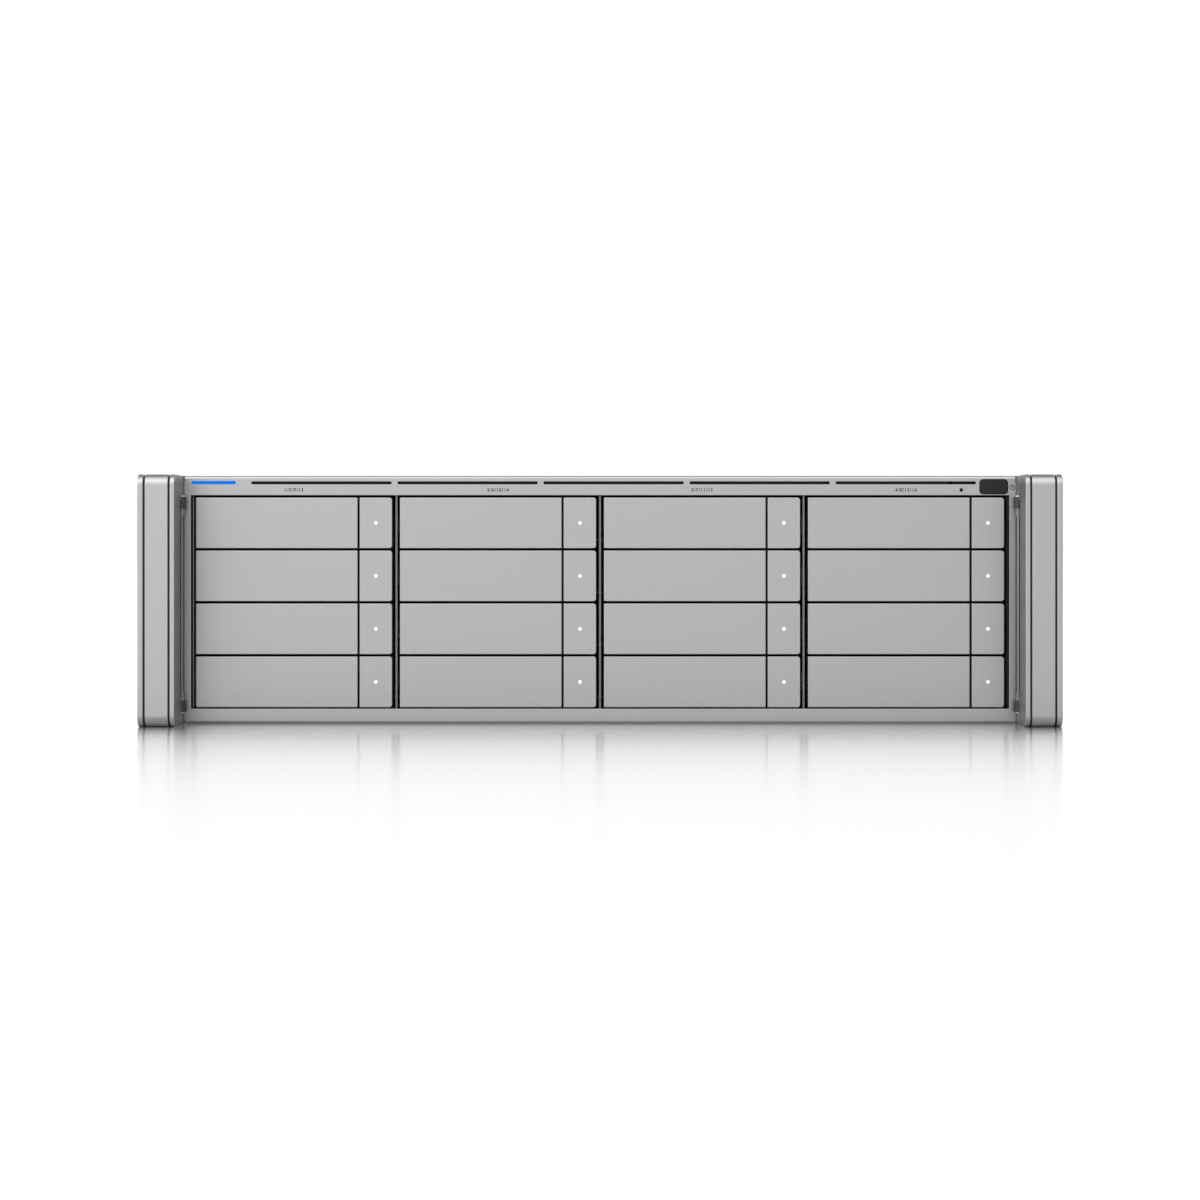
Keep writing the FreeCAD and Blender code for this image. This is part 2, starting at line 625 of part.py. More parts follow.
def groove(x, back):
    """The tool that cuts a decorative groove over the top, front and bottom of an ear cover."""
    outer = box(centred(x, GROOVE_WIDTH), (EAR_FRONT_Y - 1, back + 1), (-1, HEIGHT + 1))
    inner = box(centred(x, GROOVE_WIDTH), (EAR_FRONT_Y + GROOVE_DEPTH, back + 2),
                (GROOVE_DEPTH, HEIGHT - GROOVE_DEPTH))
    inner = inner.makeChamfer((EAR_CORNER - GROOVE_DEPTH) * (2 - math.sqrt(2)),
                              [edge for edge in inner.Edges if is_front_corner(edge, back)])
    return outer.cut(inner)


# Power supplies, boards and fans

def c14_socket(x, z, rear):
    """The recess of a mains inlet, as a cutting tool, and its three prongs."""
    floor = rear - INLET_DEPTH
    recess = box(centred(x, INLET_SIZE[0]), (floor, rear + 1), centred(z, INLET_SIZE[1]))
    upper = [edge for edge in recess.Edges if runs_along(edge, 1) and edge.CenterOfMass.z > z]
    recess = recess.makeChamfer(INLET_CORNER, upper)
    width, length, height = PRONG_SIZE
    prongs = [box(centred(x + side, width), (floor - 0.1, floor - 0.1 + length), centred(z + rise, height))
              for side, rise in PRONG_PLACES]
    return recess, prongs


def power_supply(z):
    """A slide-in power supply: case, end plate, mains inlet, air slots, pull handle and latch tab."""
    width, length, height = PSU_SIZE
    rear = REAR_Y + PSU_FLANGE
    case = box(centred(PSU_X, width), (REAR_Y - length, rear), (z, z + height))
    flange = box(centred(PSU_X, width + 3.0), (REAR_Y + 0.1, rear), (z - 0.9, z + height + 0.9))
    middle = z + height / 2
    recess, prongs = c14_socket(PSU_X + INLET_OFFSET, middle, rear)
    handle_x = PSU_X + HANDLE_OFFSET
    slot_width, slot_depth, slot_height = PSU_SLOT_SIZE
    slots = []
    for row in range(PSU_SLOTS):
        slot_z = middle + (row - (PSU_SLOTS - 1) / 2) * PSU_SLOT_PITCH
        slots.append(box(centred(handle_x, slot_width), (rear - slot_depth, rear + 1),
                         centred(slot_z, slot_height)))
    reach = REAR_Y + HANDLE_REACH
    handle_z = centred(middle, HANDLE_HEIGHT)
    across = (HANDLE_WIDTH - HANDLE_BAR[0]) / 2
    legs = [box(centred(handle_x + side * across, HANDLE_BAR[0]), (rear - 0.1, reach), handle_z)
            for side in (-1, 1)]
    grip = box(centred(handle_x, HANDLE_WIDTH), (reach - HANDLE_BAR[1], reach), handle_z)
    handle = rounded_along(fused(grip, *legs), 2.5,
                           lambda edge: runs_along(edge, 2) and edge.CenterOfMass.y > reach - 0.1)
    latch = box(centred(PSU_X + INLET_OFFSET, 10.0), (rear - 0.1, rear + 7.0),
                (z + height - 6.0, z + height - 3.5))
    return fused(case.cut([recess] + slots), flange.cut([recess] + slots), handle, latch, *prongs)


def backplane():
    """The upright board behind the trays, with air slots and the drive connector of each bay."""
    half = COLUMNS / 2 * COLUMN_PITCH - 2.0
    board = box((-half, half), (BACKPLANE_Y, BACKPLANE_Y + BOARD_THICK), OPENING_Z)
    slots = []
    connectors = []
    front = FACE_Y + DRIVE_START + DRIVE_LENGTH + 0.3
    for column in range(COLUMNS):
        for row in range(ROWS):
            corner = bay_corner(column, row)
            connectors.append(box((corner.x + 8.0, corner.x + 50.0), (front, BACKPLANE_Y),
                                  (corner.z + 2.0, corner.z + 8.0)))
            if row == ROWS - 2:
                slots.append(box((corner.x + 60.0, corner.x + 96.0), (BACKPLANE_Y - 1, BACKPLANE_Y + 3),
                                 (corner.z + 4.0, corner.z + 52.0)))
    return fused(board.cut(slots), *connectors)


def mainboard():
    """The main board on its pillars, with its memory and the data sockets at the rear wall."""
    z = MAINBOARD_Z
    pieces = [box(MAINBOARD_X, MAINBOARD_Y, (z, z + BOARD_THICK))]
    top = z + BOARD_THICK
    for x in (MAINBOARD_X[0] + PILLAR_INSET, MAINBOARD_X[1] - PILLAR_INSET):
        for y in (MAINBOARD_Y[0] + PILLAR_INSET, MAINBOARD_Y[1] - PILLAR_INSET):
            pieces.append(box(centred(x, PILLAR), centred(y, PILLAR), (SHEET, z)))
    for x in MEMORY_X:
        pieces.append(box(centred(x, MEMORY_SIZE[0]), (MEMORY_START, MEMORY_START + MEMORY_SIZE[1]),
                          (top, top + MEMORY_SIZE[2])))
    return fused(*pieces, *serial_sockets())


def cooler():
    """The finned cooler on the main board, drawn as one comb profile."""
    foot = MAINBOARD_Z + BOARD_THICK
    top = foot + COOLER_HEIGHT
    comb = [(COOLER_Y[1], foot), (COOLER_Y[0], foot)]
    y = COOLER_Y[0]
    while y < COOLER_Y[1]:
        after = y + FIN_THICK
        comb += [(y, foot + COOLER_FOOT), (y, top), (after, top), (after, foot + COOLER_FOOT)]
        y += FIN_PITCH
    comb.remove((COOLER_Y[0], foot + COOLER_FOOT))
    comb.remove((COOLER_Y[1], foot + COOLER_FOOT))
    corners = [Vector(COOLER_X[0], point_y, point_z) for point_y, point_z in comb]
    face = Part.Face(Part.makePolygon(corners + corners[:1]))
    return face.extrude(Vector(COOLER_X[1] - COOLER_X[0], 0, 0))


def network_sockets():
    """The row of network sockets."""
    rear = REAR_Y + SOCKET_PROUD
    top = MAINBOARD_Z + BOARD_THICK
    half = PORT_SIZE[0] / 2 + 0.2
    block = box((PORT_X[0] - half, PORT_X[-1] + half), (rear - 18.0, rear), (top, PORT_Z + PORT_SIZE[1] / 2))
    holes = [box(centred(x, PORT_HOLE[0]), (rear - PORT_DEPTH, rear + 1), centred(PORT_Z, PORT_HOLE[1]))
             for x in PORT_X]
    return block.cut(holes)


def serial_sockets():
    """The stacked data sockets either side of the network ones, each on its spacer."""
    rear = REAR_Y + SOCKET_PROUD
    top = MAINBOARD_Z + BOARD_THICK
    spacer = 1.6
    blocks = []
    for x in SERIAL_X:
        height = (top + spacer, top + spacer + SERIAL_SIZE[1])
        block = box(centred(x, SERIAL_SIZE[0]), (rear - SERIAL_DEPTH, rear), height)
        holes = [box(centred(x, SERIAL_HOLE[0]), (rear - 2.0, rear + 1), centred(z, SERIAL_HOLE[1]))
                 for z in SERIAL_HOLE_Z]
        blocks.append(block.cut(holes))
        blocks.append(box(centred(x, SERIAL_SIZE[0] - 0.6), (rear - SERIAL_DEPTH, REAR_Y - SHEET - 0.2),
                          (top, top + spacer)))
    return blocks


def front_boards():
    """The two small boards behind the frame's top band, with the light bar's lens and the key's switch."""
    y = (FACE_Y + FRAME_SHEET + 4.0, FACE_Y + FRAME_SHEET + 4.0 + BOARD_THICK)
    z = (OPENING_Z[1] + 1.2, HEIGHT - LID_SHEET - 0.4)
    left = box((-218.5, -190.0), y, z)
    right = box((188.0, 218.5), y, z)
    lens = softened_bar(LIGHT_X, LIGHT_Z, LIGHT_SIZE, LIGHT_SIZE[1] / 2 - 0.01, (FACE_Y + 0.15, y[0]))
    switch = box(centred(KEY_X, 6.0), (y[0] - 0.5, y[0]), centred(KEY_Z, 6.0))
    return [left, fused(right, switch), lens]


def cooling_fan(x):
    """One fan: square frame with a round duct, hub and pitched blades."""
    depth = (FAN_Y, FAN_Y + FAN_DEPTH)
    frame = box(centred(x, FAN_SIZE), depth, centred(FAN_Z, FAN_SIZE))
    duct = FAN_SIZE / 2 - 3.0
    frame = frame.cut(facet_rod_y(x, FAN_Z, duct, (FAN_Y - 1, FAN_Y + FAN_DEPTH + 1), 16))
    hub = facet_rod_y(x, FAN_Z, FAN_HUB_RADIUS, (FAN_Y + 1.0, FAN_Y + FAN_DEPTH - 4.0), 2 * FAN_BLADES)
    blades = []
    for index in range(FAN_BLADES):
        blade = box((x + FAN_HUB_RADIUS - 2.0, x + duct - 2.0), (FAN_Y + 4.0, FAN_Y + 19.0),
                    centred(FAN_Z, FAN_BLADE_THICK))
        blade.rotate(Vector(x, FAN_Y + 11.5, FAN_Z), Vector(1, 0, 0), FAN_BLADE_PITCH)
        blade.rotate(Vector(x, 0, FAN_Z), Vector(0, 1, 0), index * 360 / FAN_BLADES)
        blades.append(blade)
    return [frame, fused(hub, *blades)]


def fan_wall():
    """The sheet frame that holds the fans upright across the body."""
    side = BODY_HALF - SHEET - 2.0
    depth = (FAN_Y + FAN_DEPTH, FAN_Y + FAN_DEPTH + SHEET)
    wall = box((-side, side), depth, (SHEET, HEIGHT - LID_SHEET - 0.5))
    window = FAN_SIZE - 12.0
    holes = [box(centred(x, window), (FAN_Y, FAN_Y + 2 * FAN_DEPTH), centred(FAN_Z, window)) for x in FAN_X]
    return wall.cut(holes)


def save_bays():
    """Tray, lever and button of every bay, numbered along the rows from the top left."""
    carrier = tray_carrier()
    drive = hard_drive()
    latch = lever()
    cap = release_button()
    pipe = light_pipe()
    for row in range(ROWS):
        for column in range(COLUMNS):
            number = "%02d" % (row * COLUMNS + column + 1)
            place = bay_corner(column, row)
            save("tray_" + number, carrier.translated(place), drive.translated(place))
            save("lever_" + number, latch.translated(place))
            save("button_" + number, cap.translated(place), pipe.translated(place))


def main():
    os.makedirs("parts", exist_ok=True)
    save("chassis_base", folded_base(), rear_panel(), psu_guides())
    save("top_cover", top_cover())
    save("front_frame", front_frame())
    save("power_button", power_button())
    save("drive_cage", *drive_cage())
    bracket = rack_bracket()
    save("rack_brackets", bracket, mirrored(bracket))
    cover = ear_cover()
    save("ear_cover_right", cover)
    save("ear_cover_left", mirrored(cover))
    save("psu_upper", power_supply(PSU_Z[1]))
    save("psu_lower", power_supply(PSU_Z[0]))
    save("circuit_boards", backplane(), mainboard(), cooler(), network_sockets(), *front_boards())
    fans = [piece for x in FAN_X for piece in cooling_fan(x)]
    save("cooling_fans", fan_wall(), *fans)
    save_bays()


main()
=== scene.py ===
import bmesh
import bpy
import math
from mathutils import Matrix, Vector


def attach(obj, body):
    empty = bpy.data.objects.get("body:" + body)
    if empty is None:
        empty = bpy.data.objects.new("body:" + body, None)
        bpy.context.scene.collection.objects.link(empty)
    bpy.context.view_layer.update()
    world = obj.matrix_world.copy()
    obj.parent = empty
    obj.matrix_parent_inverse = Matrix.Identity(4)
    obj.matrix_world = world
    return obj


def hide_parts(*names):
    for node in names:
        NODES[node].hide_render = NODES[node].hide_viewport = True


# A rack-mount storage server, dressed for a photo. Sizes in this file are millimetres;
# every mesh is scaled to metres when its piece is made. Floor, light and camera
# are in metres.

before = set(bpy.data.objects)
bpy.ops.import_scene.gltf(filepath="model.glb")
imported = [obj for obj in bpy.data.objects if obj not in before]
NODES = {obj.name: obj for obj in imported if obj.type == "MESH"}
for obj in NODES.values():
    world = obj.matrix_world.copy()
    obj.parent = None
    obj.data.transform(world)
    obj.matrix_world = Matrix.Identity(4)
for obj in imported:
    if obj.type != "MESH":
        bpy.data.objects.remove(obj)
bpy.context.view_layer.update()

MM = 0.001
SIDES = (-1, 1)
FACE_Y = -234.0
EAR_FRONT_Y = -270.0
REAR_Y = 246.0
HEIGHT = 132.0
BODY_HALF = 221.3
COLUMNS = 4
ROWS = 4
COLUMN_PITCH = 108.75
ROW_PITCH = 28.25
TRAY_WIDTH = 104.65
TRAY_HEIGHT = 27.1
TOP_ROW_Z = 93.4


# Shader nodes

def feed(tree, socket, value):
    """Links a socket to another node's output, or gives it a plain value."""
    if isinstance(value, bpy.types.NodeSocket):
        tree.links.new(value, socket)
    else:
        socket.default_value = value


def calculate(tree, operation, *values):
    """The result of a Math node whose inputs are fed in order."""
    node = tree.nodes.new("ShaderNodeMath")
    node.operation = operation
    for socket, value in zip(node.inputs, values):
        feed(tree, socket, value)
    return node.outputs["Value"]


def product(tree, first, *others):
    """Several masks or levels multiplied with each other."""
    result = first
    for value in others:
        result = calculate(tree, "MULTIPLY", result, value)
    return result


def ramp(tree, value, start, end, low=0.0, high=1.0, interpolation="LINEAR"):
    """A level that goes from low at start to high at end, and stays there outside."""
    node = tree.nodes.new("ShaderNodeMapRange")
    node.interpolation_type = interpolation
    feed(tree, node.inputs["Value"], value)
    feed(tree, node.inputs["From Min"], start)
    feed(tree, node.inputs["From Max"], end)
    feed(tree, node.inputs["To Min"], low)
    feed(tree, node.inputs["To Max"], high)
    return node.outputs["Result"]


def blend(tree, factor, first, second, kind="FLOAT"):
    """The first value where the factor is 0 and the second where it is 1."""
    node = tree.nodes.new("ShaderNodeMix")
    node.data_type = kind
    feed(tree, node.inputs["Factor"], factor)
    feed(tree, node.inputs["A"], first)
    feed(tree, node.inputs["B"], second)
    return node.outputs["Result"]


def noise(tree, place, scale, detail):
    """A soft random pattern about 0.5."""
    node = tree.nodes.new("ShaderNodeTexNoise")
    feed(tree, node.inputs["Vector"], place)
    feed(tree, node.inputs["Scale"], scale)
    feed(tree, node.inputs["Detail"], detail)
    return node.outputs["Fac"]


def along_axes(tree, vector):
    """The three parts of a place or direction."""
    node = tree.nodes.new("ShaderNodeSeparateXYZ")
    feed(tree, node.inputs["Vector"], vector)
    return node.outputs


def grey(level):
    """A colour without hue."""
    return (level, level, level, 1.0)


# Finishes

PATCH_DETAIL = 3.0
GRAIN_DETAIL = 2.0
GRAIN_DEPTH = 0.0002
GLOW_ON_OTHERS = 0.15


def wear_group():
    """Shared effect: soft patches of tone, a fine grain and a little change in gloss."""
    group = bpy.data.node_groups.new("Handled_surface", "ShaderNodeTree")
    face = group.interface
    face.new_socket("Vector", in_out="INPUT", socket_type="NodeSocketVector")
    face.new_socket("Colour", in_out="INPUT", socket_type="NodeSocketColor")
    for name in ("Roughness", "Tone", "Patch scale", "Grain scale", "Stretch"):
        face.new_socket(name, in_out="INPUT", socket_type="NodeSocketFloat")
    face.new_socket("Colour", in_out="OUTPUT", socket_type="NodeSocketColor")
    face.new_socket("Roughness", in_out="OUTPUT", socket_type="NodeSocketFloat")
    face.new_socket("Height", in_out="OUTPUT", socket_type="NodeSocketFloat")
    start = group.nodes.new("NodeGroupInput").outputs
    end = group.nodes.new("NodeGroupOutput").inputs
    patches = noise(group, start["Vector"], start["Patch scale"], PATCH_DETAIL)
    stretch = group.nodes.new("ShaderNodeCombineXYZ")
    feed(group, stretch.inputs["X"], start["Stretch"])
    feed(group, stretch.inputs["Y"], 1.0)
    feed(group, stretch.inputs["Z"], 1.0)
    drawn = group.nodes.new("ShaderNodeVectorMath")
    drawn.operation = "MULTIPLY"
    feed(group, drawn.inputs[0], start["Vector"])
    feed(group, drawn.inputs[1], stretch.outputs["Vector"])
    grain = noise(group, drawn.outputs["Vector"], start["Grain scale"], GRAIN_DETAIL)
    about_zero = calculate(group, "SUBTRACT", calculate(group, "ADD", patches, grain), 1.0)
    change = calculate(group, "MULTIPLY_ADD", about_zero, start["Tone"], 1.0)
    tinted = group.nodes.new("ShaderNodeVectorMath")
    tinted.operation = "SCALE"
    feed(group, tinted.inputs[0], start["Colour"])
    feed(group, tinted.inputs["Scale"], change)
    feed(group, end["Colour"], tinted.outputs["Vector"])
    feed(group, end["Roughness"], product(group, start["Roughness"], change))
    feed(group, end["Height"], grain)
    return group


WEAR = wear_group()


def finish(name, colour, roughness, metallic=0.0, tone=0.08, patch=9.0, grain=1800.0, relief=0.02,
           stretch=1.0, specular=0.5, glow=None, glow_strength=0.0):
    """One finish: base colour (linear), gloss, grain and, for lights, its glow."""
    material = bpy.data.materials.new(name)
    material.use_nodes = True
    material.diffuse_color = (*colour, 1.0)
    tree = material.node_tree
    shader = tree.nodes["Principled BSDF"]
    feed(tree, shader.inputs["Metallic"], metallic)
    feed(tree, shader.inputs["Specular IOR Level"], specular)
    place = tree.nodes.new("ShaderNodeTexCoord")
    wear = tree.nodes.new("ShaderNodeGroup")
    wear.node_tree = WEAR
    feed(tree, wear.inputs["Vector"], place.outputs["Object"])
    feed(tree, wear.inputs["Colour"], (*colour, 1.0))
    feed(tree, wear.inputs["Roughness"], roughness)
    feed(tree, wear.inputs["Tone"], tone)
    feed(tree, wear.inputs["Patch scale"], patch)
    feed(tree, wear.inputs["Grain scale"], grain)
    feed(tree, wear.inputs["Stretch"], stretch)
    feed(tree, shader.inputs["Base Color"], wear.outputs["Colour"])
    feed(tree, shader.inputs["Roughness"], wear.outputs["Roughness"])
    bump = tree.nodes.new("ShaderNodeBump")
    feed(tree, bump.inputs["Strength"], relief)
    feed(tree, bump.inputs["Distance"], GRAIN_DEPTH)
    feed(tree, bump.inputs["Height"], wear.outputs["Height"])
    feed(tree, shader.inputs["Normal"], bump.outputs["Normal"])
    if glow:
        feed(tree, shader.inputs["Emission Color"], (*glow, 1.0))
        seen = tree.nodes.new("ShaderNodeLightPath").outputs["Is Camera Ray"]
        strength = ramp(tree, seen, 0.0, 1.0, glow_strength * GLOW_ON_OTHERS, glow_strength)
        feed(tree, shader.inputs["Emission Strength"], strength)
    return material


# Finishes of the front

SILVER = finish("anodised_silver", (0.57, 0.57, 0.575), roughness=0.36, metallic=0.85,
                tone=0.03, patch=6.0, relief=0.06)
# Painted shade: a darker grey for the ears' inner side walls, their hinge knuckles and the strip in the gap
# beside them, which lie in shade.
EAR_SHADE = finish("ear_inner_side_painted_shade", (0.25, 0.25, 0.255), roughness=0.42, metallic=0.7,
                   tone=0.06, patch=12.0, relief=0.05)
CAGE = finish("cage_steel", (0.30, 0.30, 0.305), roughness=0.5, metallic=0.8, tone=0.12, patch=20.0)
# Painted highlight on the cage's front edges, and painted shade on the outer sheets' front edges.
CAGE_EDGE_HIGHLIGHT = finish("cage_front_edge_painted_highlight", (0.34, 0.34, 0.34), roughness=0.45, metallic=0.7, tone=0.06)
CAGE_EDGE_SHADE = finish("cage_outer_edge_painted_shade", (0.03, 0.03, 0.03), roughness=0.5, metallic=0.5, tone=0.1)
# Painted shade: near-black for gaps, grooves, slits, screw recesses, air slots and the insides of openings,
# where there is only shade.
GAP_SHADE = finish("painted_gap_shade", (0.008, 0.008, 0.009), roughness=0.65, tone=0.3, patch=60.0)
BRACKET = finish("bracket_black", (0.075, 0.075, 0.078), roughness=0.42, metallic=0.55,
                 tone=0.15, patch=30.0, relief=0.1)
PLASTIC = finish("black_plastic", (0.018, 0.018, 0.019), roughness=0.48, tone=0.15, patch=40.0, relief=0.12)
KEY = finish("dark_key", (0.008, 0.008, 0.009), roughness=0.5, metallic=0.1,
             tone=0.12, patch=60.0, relief=0.05)
KEY_RIM = finish("key_rim", (0.006, 0.006, 0.007), roughness=0.35, metallic=0.1, tone=0.1)
PIN = finish("bright_pin", (0.29, 0.29, 0.30), roughness=0.3, metallic=0.95, tone=0.05)
# Painted glint: the hinge pins' round heads are much lighter than the pin itself.
PIN_HEAD_GLINT = finish("pin_head_painted_glint", (0.85, 0.85, 0.86), roughness=0.3, metallic=0.9, tone=0.03)
PRINT = finish("grey_print", (0.02, 0.02, 0.021), roughness=0.6, tone=0.1)
BLUE = finish("blue_light", (0.001, 0.015, 0.07), roughness=0.6, tone=0.04, specular=0.12,
              glow=(0.001, 0.185, 0.83), glow_strength=0.97)
WHITE_LED = finish("white_light", (0.9, 0.9, 0.9), roughness=0.4, tone=0.02,
                   glow=(1.0, 1.0, 1.0), glow_strength=1.6)
LED_RIM = finish("light_rim", (0.66, 0.66, 0.66), roughness=0.5, tone=0.02,
                 glow=(1.0, 1.0, 1.0), glow_strength=0.08)


# Finishes of the box and of what is inside it

STEEL = finish("zinc_coated_steel", (0.42, 0.42, 0.43), roughness=0.44, metallic=0.9,
               tone=0.12, patch=22.0, grain=500.0, relief=0.05)
SUPPLY = finish("supply_case", (0.40, 0.40, 0.405), roughness=0.42, metallic=0.85,
                tone=0.1, patch=18.0, relief=0.04)
GREEN_LED = finish("green_light", (0.05, 0.5, 0.1), roughness=0.4, tone=0.02,
                   glow=(0.1, 1.0, 0.2), glow_strength=0.8)
CAST = finish("cast_aluminium", (0.38, 0.38, 0.385), roughness=0.5, metallic=0.85,
              tone=0.1, patch=40.0, grain=900.0, relief=0.15)
DISK_LID = finish("drive_lid", (0.55, 0.55, 0.56), roughness=0.33, metallic=0.9,
                  tone=0.06, grain=700.0, stretch=0.05, relief=0.05)
LABEL = finish("paper_label", (0.78, 0.78, 0.76), roughness=0.6, tone=0.03, relief=0.03)
BOARD = finish("circuit_board", (0.012, 0.10, 0.04), roughness=0.42,
               tone=0.2, patch=120.0, grain=900.0, relief=0.2)
CHIP = finish("chip_black", (0.025, 0.025, 0.027), roughness=0.5, tone=0.1, relief=0.1)
FIN = finish("cooler_fins", (0.6, 0.6, 0.61), roughness=0.35, metallic=0.9, tone=0.06)


# Shapes, in millimetres

MERGE_WITHIN = 0.002
FLAT_WITHIN = 0.6
SMOOTH_BELOW = 36.0


def centred(middle, size):
    """The limits of a length about its middle."""
    return (middle - size / 2, middle + size / 2)


def on_side(side, low, high):
    """The limits of a length at the left (-1) or right (+1) of the part."""
    return sorted((side * low, side * high))


def through_face(face, outward, sunk, proud):
    """The limits of a small piece that is sunk in a face and stands proud of it."""
    return sorted((face - sunk * outward, face + proud * outward))


def spot(axis, a, b, c):
    """A point from two outline values and a depth along X, Y or Z."""
    return ((c, a, b), (a, c, b), (a, b, c))[axis]


def soften(part, width, segments=2, sharpest=30.0, chosen=None):
    """Rounds the sharp edges of a part, or those that a test picks by their middle."""
    if width <= 0:
        return part
    limit = math.radians(sharpest)
    edges = []
    for edge in part.edges:
        if len(edge.link_faces) != 2 or edge.calc_face_angle(0.0) < limit:
            continue
        if chosen is None or chosen((edge.verts[0].co + edge.verts[1].co) / 2):
            edges.append(edge)
    if edges:
        bmesh.ops.bevel(part, geom=edges, offset=width, offset_type="OFFSET", segments=segments, profile=0.5,
                        affect="EDGES", clamp_overlap=True, material=-1)
    return part


def prism(outline, axis, low, high, bevel=0.0, segments=2, chosen=None):
    """A closed outline drawn out along X (points are y, z), Y (x, z) or Z (x, y)."""
    part = bmesh.new()
    near = [part.verts.new(spot(axis, a, b, low)) for a, b in outline]
    far = [part.verts.new(spot(axis, a, b, high)) for a, b in outline]
    part.faces.new(near)
    part.faces.new(far)
    for index in range(len(outline)):
        after = (index + 1) % len(outline)
        part.faces.new((near[index], near[after], far[after], far[index]))
    bmesh.ops.recalc_face_normals(part, faces=part.faces)
    return soften(part, bevel, segments, chosen=chosen)


def rectangle(a, b):
    """The corners of a rectangle between limits."""
    return [(a[0], b[0]), (a[1], b[0]), (a[1], b[1]), (a[0], b[1])]


def block(x, y, z, bevel=0.0, segments=2):
    """A block between limits along X, Y and Z."""
    return prism(rectangle(x, z), 1, y[0], y[1], bevel, segments)


def circle(middle, radius, sides=32):
    """The outline of a circle."""
    return [(middle[0] + radius * math.cos(2 * math.pi * k / sides),
             middle[1] + radius * math.sin(2 * math.pi * k / sides)) for k in range(sides)]


def rod(axis, middle, radius, low, high, bevel=0.0, sides=32):
    """A round rod."""
    return prism(circle(middle, radius, sides), axis, low, high, bevel)


def tube(axis, middle, outer, inner, low, high, sides=32):
    """A round tube."""
    part = bmesh.new()
    rings = []
    for radius, depth in ((outer, low), (outer, high), (inner, high), (inner, low)):
        rings.append([part.verts.new(spot(axis, a, b, depth)) for a, b in circle(middle, radius, sides)])
    for number, ring in enumerate(rings):
        after = rings[(number + 1) % len(rings)]
        for k in range(sides):
            part.faces.new((ring[k], ring[(k + 1) % sides], after[(k + 1) % sides], after[k]))
    bmesh.ops.recalc_face_normals(part, faces=part.faces)
    return part


def round_rectangle(a, b, radii, steps=8):
    """A rectangle with round corners; radii start at the corner (low, low) and go round."""
    corners = ((a[0], b[0], 180), (a[1], b[0], 270), (a[1], b[1], 0), (a[0], b[1], 90))
    outline = []
    for (at_a, at_b, begin), radius in zip(corners, radii):
        middle_a = at_a + radius if at_a == a[0] else at_a - radius
        middle_b = at_b + radius if at_b == b[0] else at_b - radius
        for step in range(steps + 1):
            turn = math.radians(begin + 90 * step / steps)
            outline.append((middle_a + radius * math.cos(turn), middle_b + radius * math.sin(turn)))
    return outline


def from_node(name):
    """The CAD piece's own shape as closed faces again, in millimetres."""
    part = bmesh.new()
    part.from_mesh(NODES[name].data)
    bmesh.ops.scale(part, vec=(1000.0, 1000.0, 1000.0), verts=part.verts)
    bmesh.ops.remove_doubles(part, verts=part.verts, dist=MERGE_WITHIN)
    bmesh.ops.dissolve_limit(part, angle_limit=math.radians(FLAT_WITHIN), use_dissolve_boundaries=False,
                             verts=part.verts, edges=part.edges)
    return part


class Piece:
    """One piece of the dressed model: parts with their finishes, gathered in one mesh."""

    def __init__(self):
        self.shape = bmesh.new()
        self.finishes = []

    def add(self, part, material, pick=None):
        """Takes a part in. A pick function may give a face its own finish by its middle and normal."""
        part.normal_update()
        for face in part.faces:
            chosen = pick(face.calc_center_median(), face.normal) if pick else None
            chosen = chosen or material
            if chosen not in self.finishes:
                self.finishes.append(chosen)
            face.material_index = self.finishes.index(chosen)
        carrier = bpy.data.meshes.new("carrier")
        part.to_mesh(carrier)
        part.free()
        self.shape.from_mesh(carrier)
        bpy.data.meshes.remove(carrier)

    def place(self, name, body, replaces, slot, offset=(0.0, 0.0, 0.0)):
        """Makes the object from a copy of the shape, and lets it ride on its body."""
        mesh = bpy.data.meshes.new(name)
        copy = self.shape.copy()
        bmesh.ops.translate(copy, vec=offset, verts=copy.verts)
        bmesh.ops.scale(copy, vec=(MM, MM, MM), verts=copy.verts)
        for face in copy.faces:
            face.smooth = True
        limit = math.radians(SMOOTH_BELOW)
        for edge in copy.edges:
            edge.smooth = len(edge.link_faces) == 2 and edge.calc_face_angle(0.0) < limit
        copy.to_mesh(mesh)
        copy.free()
        for material in self.finishes:
            mesh.materials.append(material)
        piece = bpy.data.objects.new(name, mesh)
        bpy.context.scene.collection.objects.link(piece)
        weighted = piece.modifiers.new("even_normals", "WEIGHTED_NORMAL")
        weighted.keep_sharp = True
        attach(piece, body)
        if replaces:
            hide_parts(*replaces)


# Small fasteners and print

SCREW_SUNK = 0.2
SCREW_EDGE = 0.3
CROSS_LENGTH = 1.2
CROSS_WIDTH = 0.28
CROSS_SUNK = 0.1
CROSS_PROUD = 0.03
DIGIT_SHARE = 0.7
PRINT_DEPTH = 0.06


def screw(piece, axis, middle, face, outward, radius, head):
    """A small cross-recess screw head on a face; outward is +1 or -1 along the axis."""
    low, high = through_face(face, outward, SCREW_SUNK, head)
    piece.add(rod(axis, middle, radius, low, high, SCREW_EDGE, 24), STEEL)
    low, high = through_face(face + head * outward, outward, CROSS_SUNK, CROSS_PROUD)
    long_side = radius * CROSS_LENGTH
    short_side = radius * CROSS_WIDTH
    # The cross recess is painted black as shade.
    for a, b in ((long_side, short_side), (short_side, long_side)):
        arm = rectangle(centred(middle[0], a), centred(middle[1], b))
        piece.add(prism(arm, axis, low, high), GAP_SHADE)


